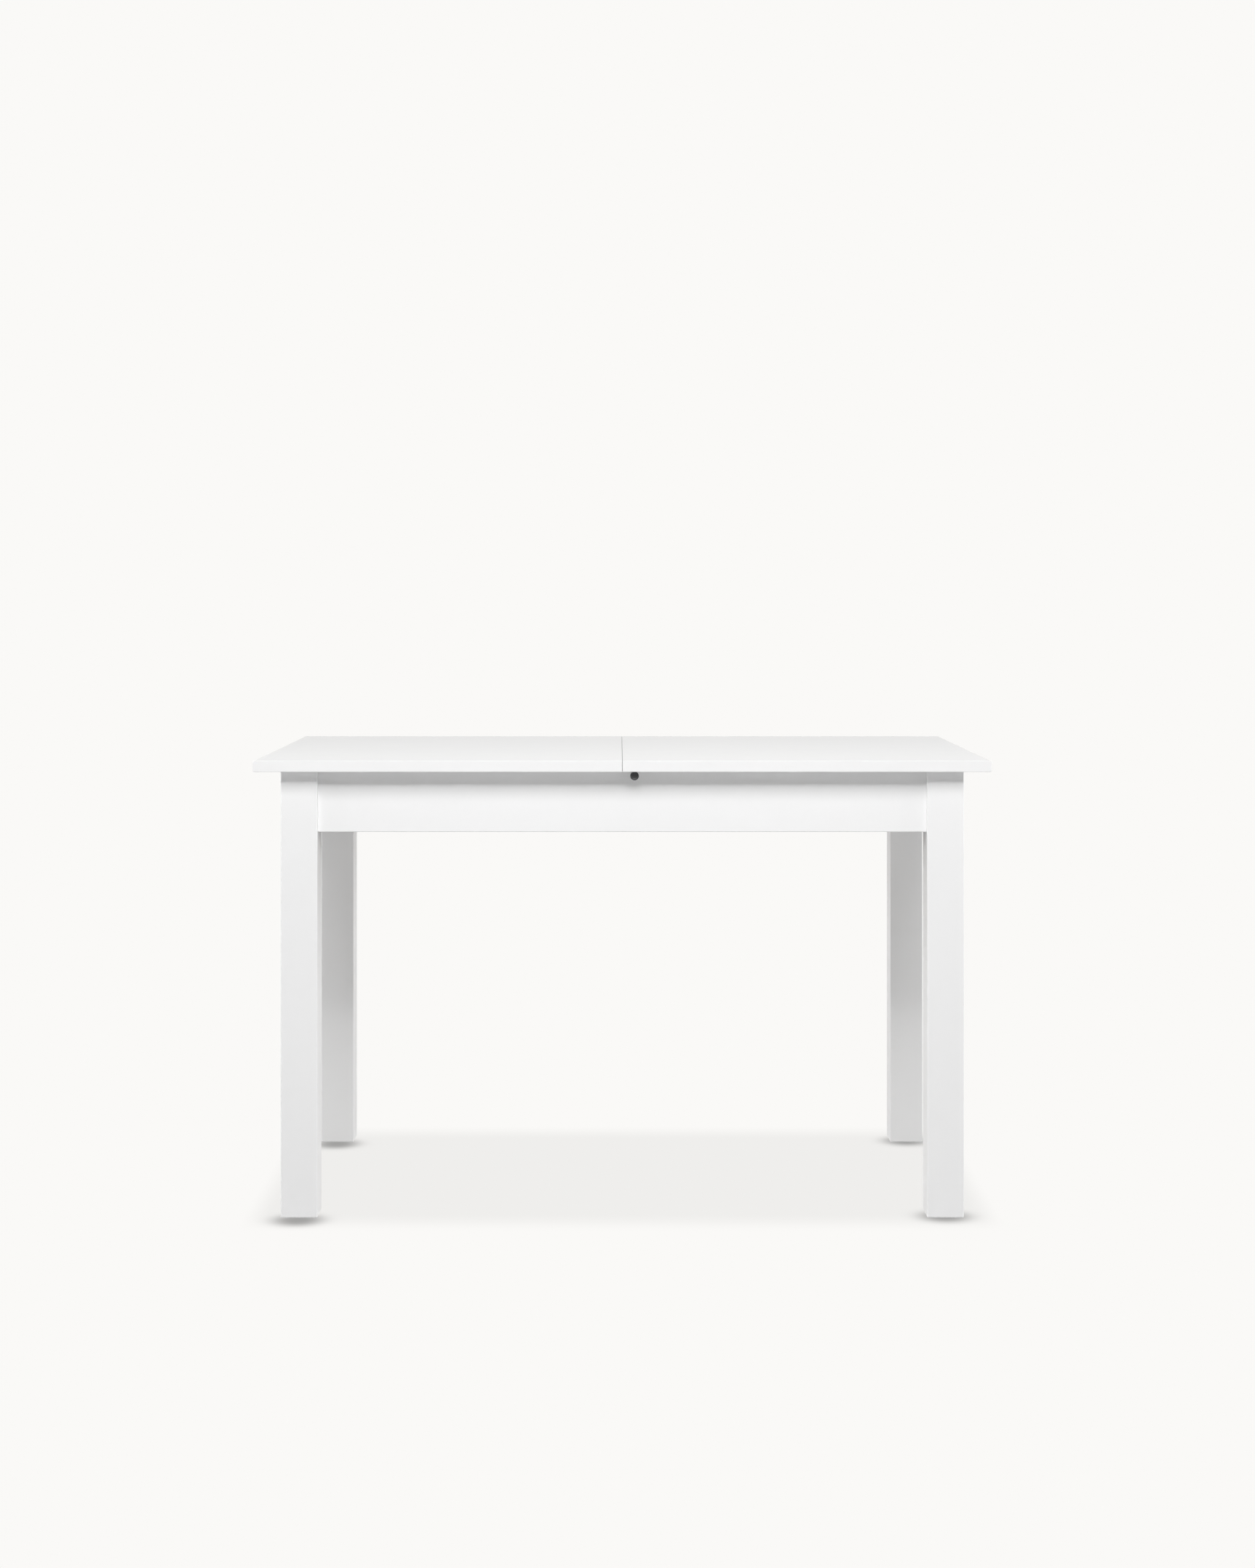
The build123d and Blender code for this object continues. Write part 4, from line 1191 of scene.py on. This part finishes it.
class TABLE_OT_studio(bpy.types.Operator):
    """Make the floor, backdrop, lights and camera"""

    bl_idname = "table.studio"
    bl_label = "Studio"

    def execute(self, context):
        studio = context.scene.table_studio
        context.scene.view_settings.view_transform = "Standard"
        self.make_world(context.scene, studio)
        self.make_floor(studio)
        self.make_lights(studio)
        self.make_camera(context.scene, studio)
        return {"FINISHED"}

    def make_world(self, scene, studio):
        """A faint even fill, and the plain backdrop colour for the camera and for reflections."""
        world = bpy.data.worlds.new("Studio")
        world.use_nodes = True
        scene.world = world
        tree = world.node_tree
        tree.nodes.clear()
        path = add_node(tree, "ShaderNodeLightPath")
        fill = add_node(tree, "ShaderNodeBackground", {"Color": (1, 1, 1, 1), "Strength": studio.fill})
        seen = add_node(tree, "ShaderNodeBackground", {"Color": (*studio.backdrop, 1), "Strength": 1.0})
        sharp = calculate(tree, "MAXIMUM", path.outputs["Is Camera Ray"], path.outputs["Is Glossy Ray"])
        mixed = add_node(tree, "ShaderNodeMixShader", {0: sharp, 1: fill.outputs[0], 2: seen.outputs[0]})
        add_node(tree, "ShaderNodeOutputWorld", {"Surface": mixed.outputs[0]})

    def make_floor(self, studio):
        """A round floor: to the camera a plain sweep with painted soft shadows, to the table a matt reflector
        with a faint glow of its own, and clear from below, so that the underside can be looked at."""
        work = bmesh.new()
        bmesh.ops.create_circle(work, cap_ends=True, radius=FLOOR_RADIUS, segments=96)
        mesh = bpy.data.meshes.new("floor")
        work.to_mesh(mesh)
        work.free()
        floor = add_object("floor", mesh)
        material = bpy.data.materials.new("Studio Floor")
        material.use_nodes = True
        tree = material.node_tree
        tree.nodes.clear()
        place = add_node(tree, "ShaderNodeTexCoord").outputs["Object"]

        def left_by(group, inputs, depth):
            """The share of the backdrop's brightness that a painted shadow of this depth leaves where the
            group's mask is.
            """
            effect = add_node(tree, "ShaderNodeGroup", {"Vector": place, **inputs}, node_tree=group)
            taken = calculate(tree, "MULTIPLY", effect.outputs["Mask"], depth)
            return calculate(tree, "SUBTRACT", 1.0, taken)

        # Painted shadows: a soft dark box under the table and a dark spot at each foot dim the plain backdrop
        # colour.
        low, high = CAD_BOX
        blur = (studio.shadow_blur, studio.shadow_blur * studio.shadow_stretch, 1)
        light = left_by(soft_box_group(), {"Low": low, "High": high, "Blur": blur}, studio.shadow_depth)
        for corner in CORNERS:
            centre = sum(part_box(f"leg_{corner}"), Vector()) / 2
            slip = studio.contact_slip_left if centre.x < 0 else studio.contact_slip_right
            spot = {"Centre": (centre.x, centre.y - slip, 0), "Radius": studio.contact_radius}
            light = calculate(tree, "MULTIPLY", light, left_by(soft_spot_group(), spot, studio.contact_depth))
        plain = add_node(tree, "ShaderNodeEmission", {"Color": (*studio.backdrop, 1), "Strength": light})
        matte = add_node(tree, "ShaderNodeBsdfDiffuse", {"Color": (*studio.floor_bounce, 1)})
        glow = add_node(tree, "ShaderNodeEmission", {"Color": (1, 1, 1, 1), "Strength": studio.floor_glow})
        lifted = add_node(tree, "ShaderNodeAddShader", {0: matte.outputs[0], 1: glow.outputs[0]})
        seen = add_node(tree, "ShaderNodeLightPath").outputs["Is Camera Ray"]
        mixed = add_node(tree, "ShaderNodeMixShader", {0: seen, 1: lifted.outputs[0], 2: plain.outputs[0]})
        below = add_node(tree, "ShaderNodeNewGeometry").outputs["Backfacing"]
        clear = add_node(tree, "ShaderNodeBsdfTransparent")
        whole = add_node(tree, "ShaderNodeMixShader", {0: below, 1: mixed.outputs[0], 2: clear.outputs[0]})
        add_node(tree, "ShaderNodeOutputMaterial", {"Surface": whole.outputs[0]})
        mesh.materials.append(material)

    def make_lights(self, studio):
        """Softboxes aimed at the middle of the top's front edge; azimuth 0 is straight in front."""
        front = math.degrees(studio.front_elevation)
        strip, near = front - 11, 3.6
        edge = Vector((0, CAD_BOX[0].y, CAD_BOX[1].z))
        for name, azimuth, elevation, distance, size, power in (
            ("front", 0, front, near, (2.6, 1.4), studio.front_power),
            ("front_strip", 0, strip, near, (2.6, 0.3), studio.strip_power),
            ("left", -75, 30, near, (2.0, 2.0), studio.left_power),
            ("right", 75, 30, near, (2.0, 2.0), studio.right_power),
            ("side_left", -87, 4, 6.0, (1.8, 1.4), studio.side_power),
            ("side_right", 87, 4, 6.0, (1.8, 1.4), studio.side_power),
            ("corner_left", -130, 8, 5.5, (3.2, 1.3), studio.corner_power),
            ("corner_right", 130, 8, 5.5, (3.2, 1.3), studio.corner_power),
            ("rear", 180, 45, near, (3.0, 1.5), studio.rear_power),
        ):
            around, up = math.radians(azimuth), math.radians(elevation)
            away = Vector((math.sin(around) * math.cos(up), -math.cos(around) * math.cos(up), math.sin(up)))
            data = bpy.data.lights.new(name, "AREA")
            data.shape = "RECTANGLE"
            data.size, data.size_y = size
            data.energy = power
            lamp = add_object(name, data)
            lamp.location = edge + away * distance
            lamp.rotation_euler = (-away).to_track_quat("-Z", "Y").to_euler()

    def make_camera(self, scene, studio):
        data = bpy.data.cameras.new("camera")
        data.lens = studio.lens
        data.sensor_width = SENSOR_WIDTH
        data.shift_x = studio.shift_x
        data.shift_y = studio.shift_y
        data.clip_end = 5 * FLOOR_RADIUS
        camera = add_object("camera", data)
        camera.location = (studio.camera_side, CAD_BOX[0].y - studio.camera_distance, studio.camera_height)
        camera.rotation_euler = (math.radians(90), 0, 0)
        scene.camera = camera


OPERATORS = (
    TABLE_OT_half_tops,
    TABLE_OT_legs,
    TABLE_OT_aprons,
    TABLE_OT_runners,
    TABLE_OT_corner_hardware,
    TABLE_OT_screws,
    TABLE_OT_leaf_hinges,
    TABLE_OT_catches,
    TABLE_OT_studio,
)


class TABLE_PT_panel(bpy.types.Panel):
    """Lists the table's pieces and their settings"""

    bl_idname = "TABLE_PT_panel"
    bl_label = "Extension Table"
    bl_space_type = "VIEW_3D"
    bl_region_type = "UI"
    bl_category = "Table"

    def draw(self, context):
        for operator in OPERATORS:
            self.layout.operator(operator.bl_idname)
        for group in SETTINGS:
            settings = getattr(context.scene, group)
            box = self.layout.box()
            for name in settings.bl_rna.properties.keys():
                if name not in ("rna_type", "name"):
                    box.prop(settings, name)


SETTINGS = {"table_finish": TableFinish, "table_hardware": TableHardware, "table_studio": TableStudio}


def register():
    for group in SETTINGS.values():
        bpy.utils.register_class(group)
    for operator in OPERATORS:
        bpy.utils.register_class(operator)
    bpy.utils.register_class(TABLE_PT_panel)
    for name, group in SETTINGS.items():
        setattr(bpy.types.Scene, name, bpy.props.PointerProperty(type=group))


def unregister():
    for name in SETTINGS:
        delattr(bpy.types.Scene, name)
    bpy.utils.unregister_class(TABLE_PT_panel)
    for operator in reversed(OPERATORS):
        bpy.utils.unregister_class(operator)
    for group in reversed(SETTINGS.values()):
        bpy.utils.unregister_class(group)


def main():
    register()
    bpy.ops.table.half_tops()
    bpy.ops.table.legs()
    bpy.ops.table.aprons()
    bpy.ops.table.runners()
    bpy.ops.table.corner_hardware()
    bpy.ops.table.screws()
    bpy.ops.table.leaf_hinges()
    bpy.ops.table.catches()
    bpy.ops.table.studio()


if __name__ == "__main__":
    main()
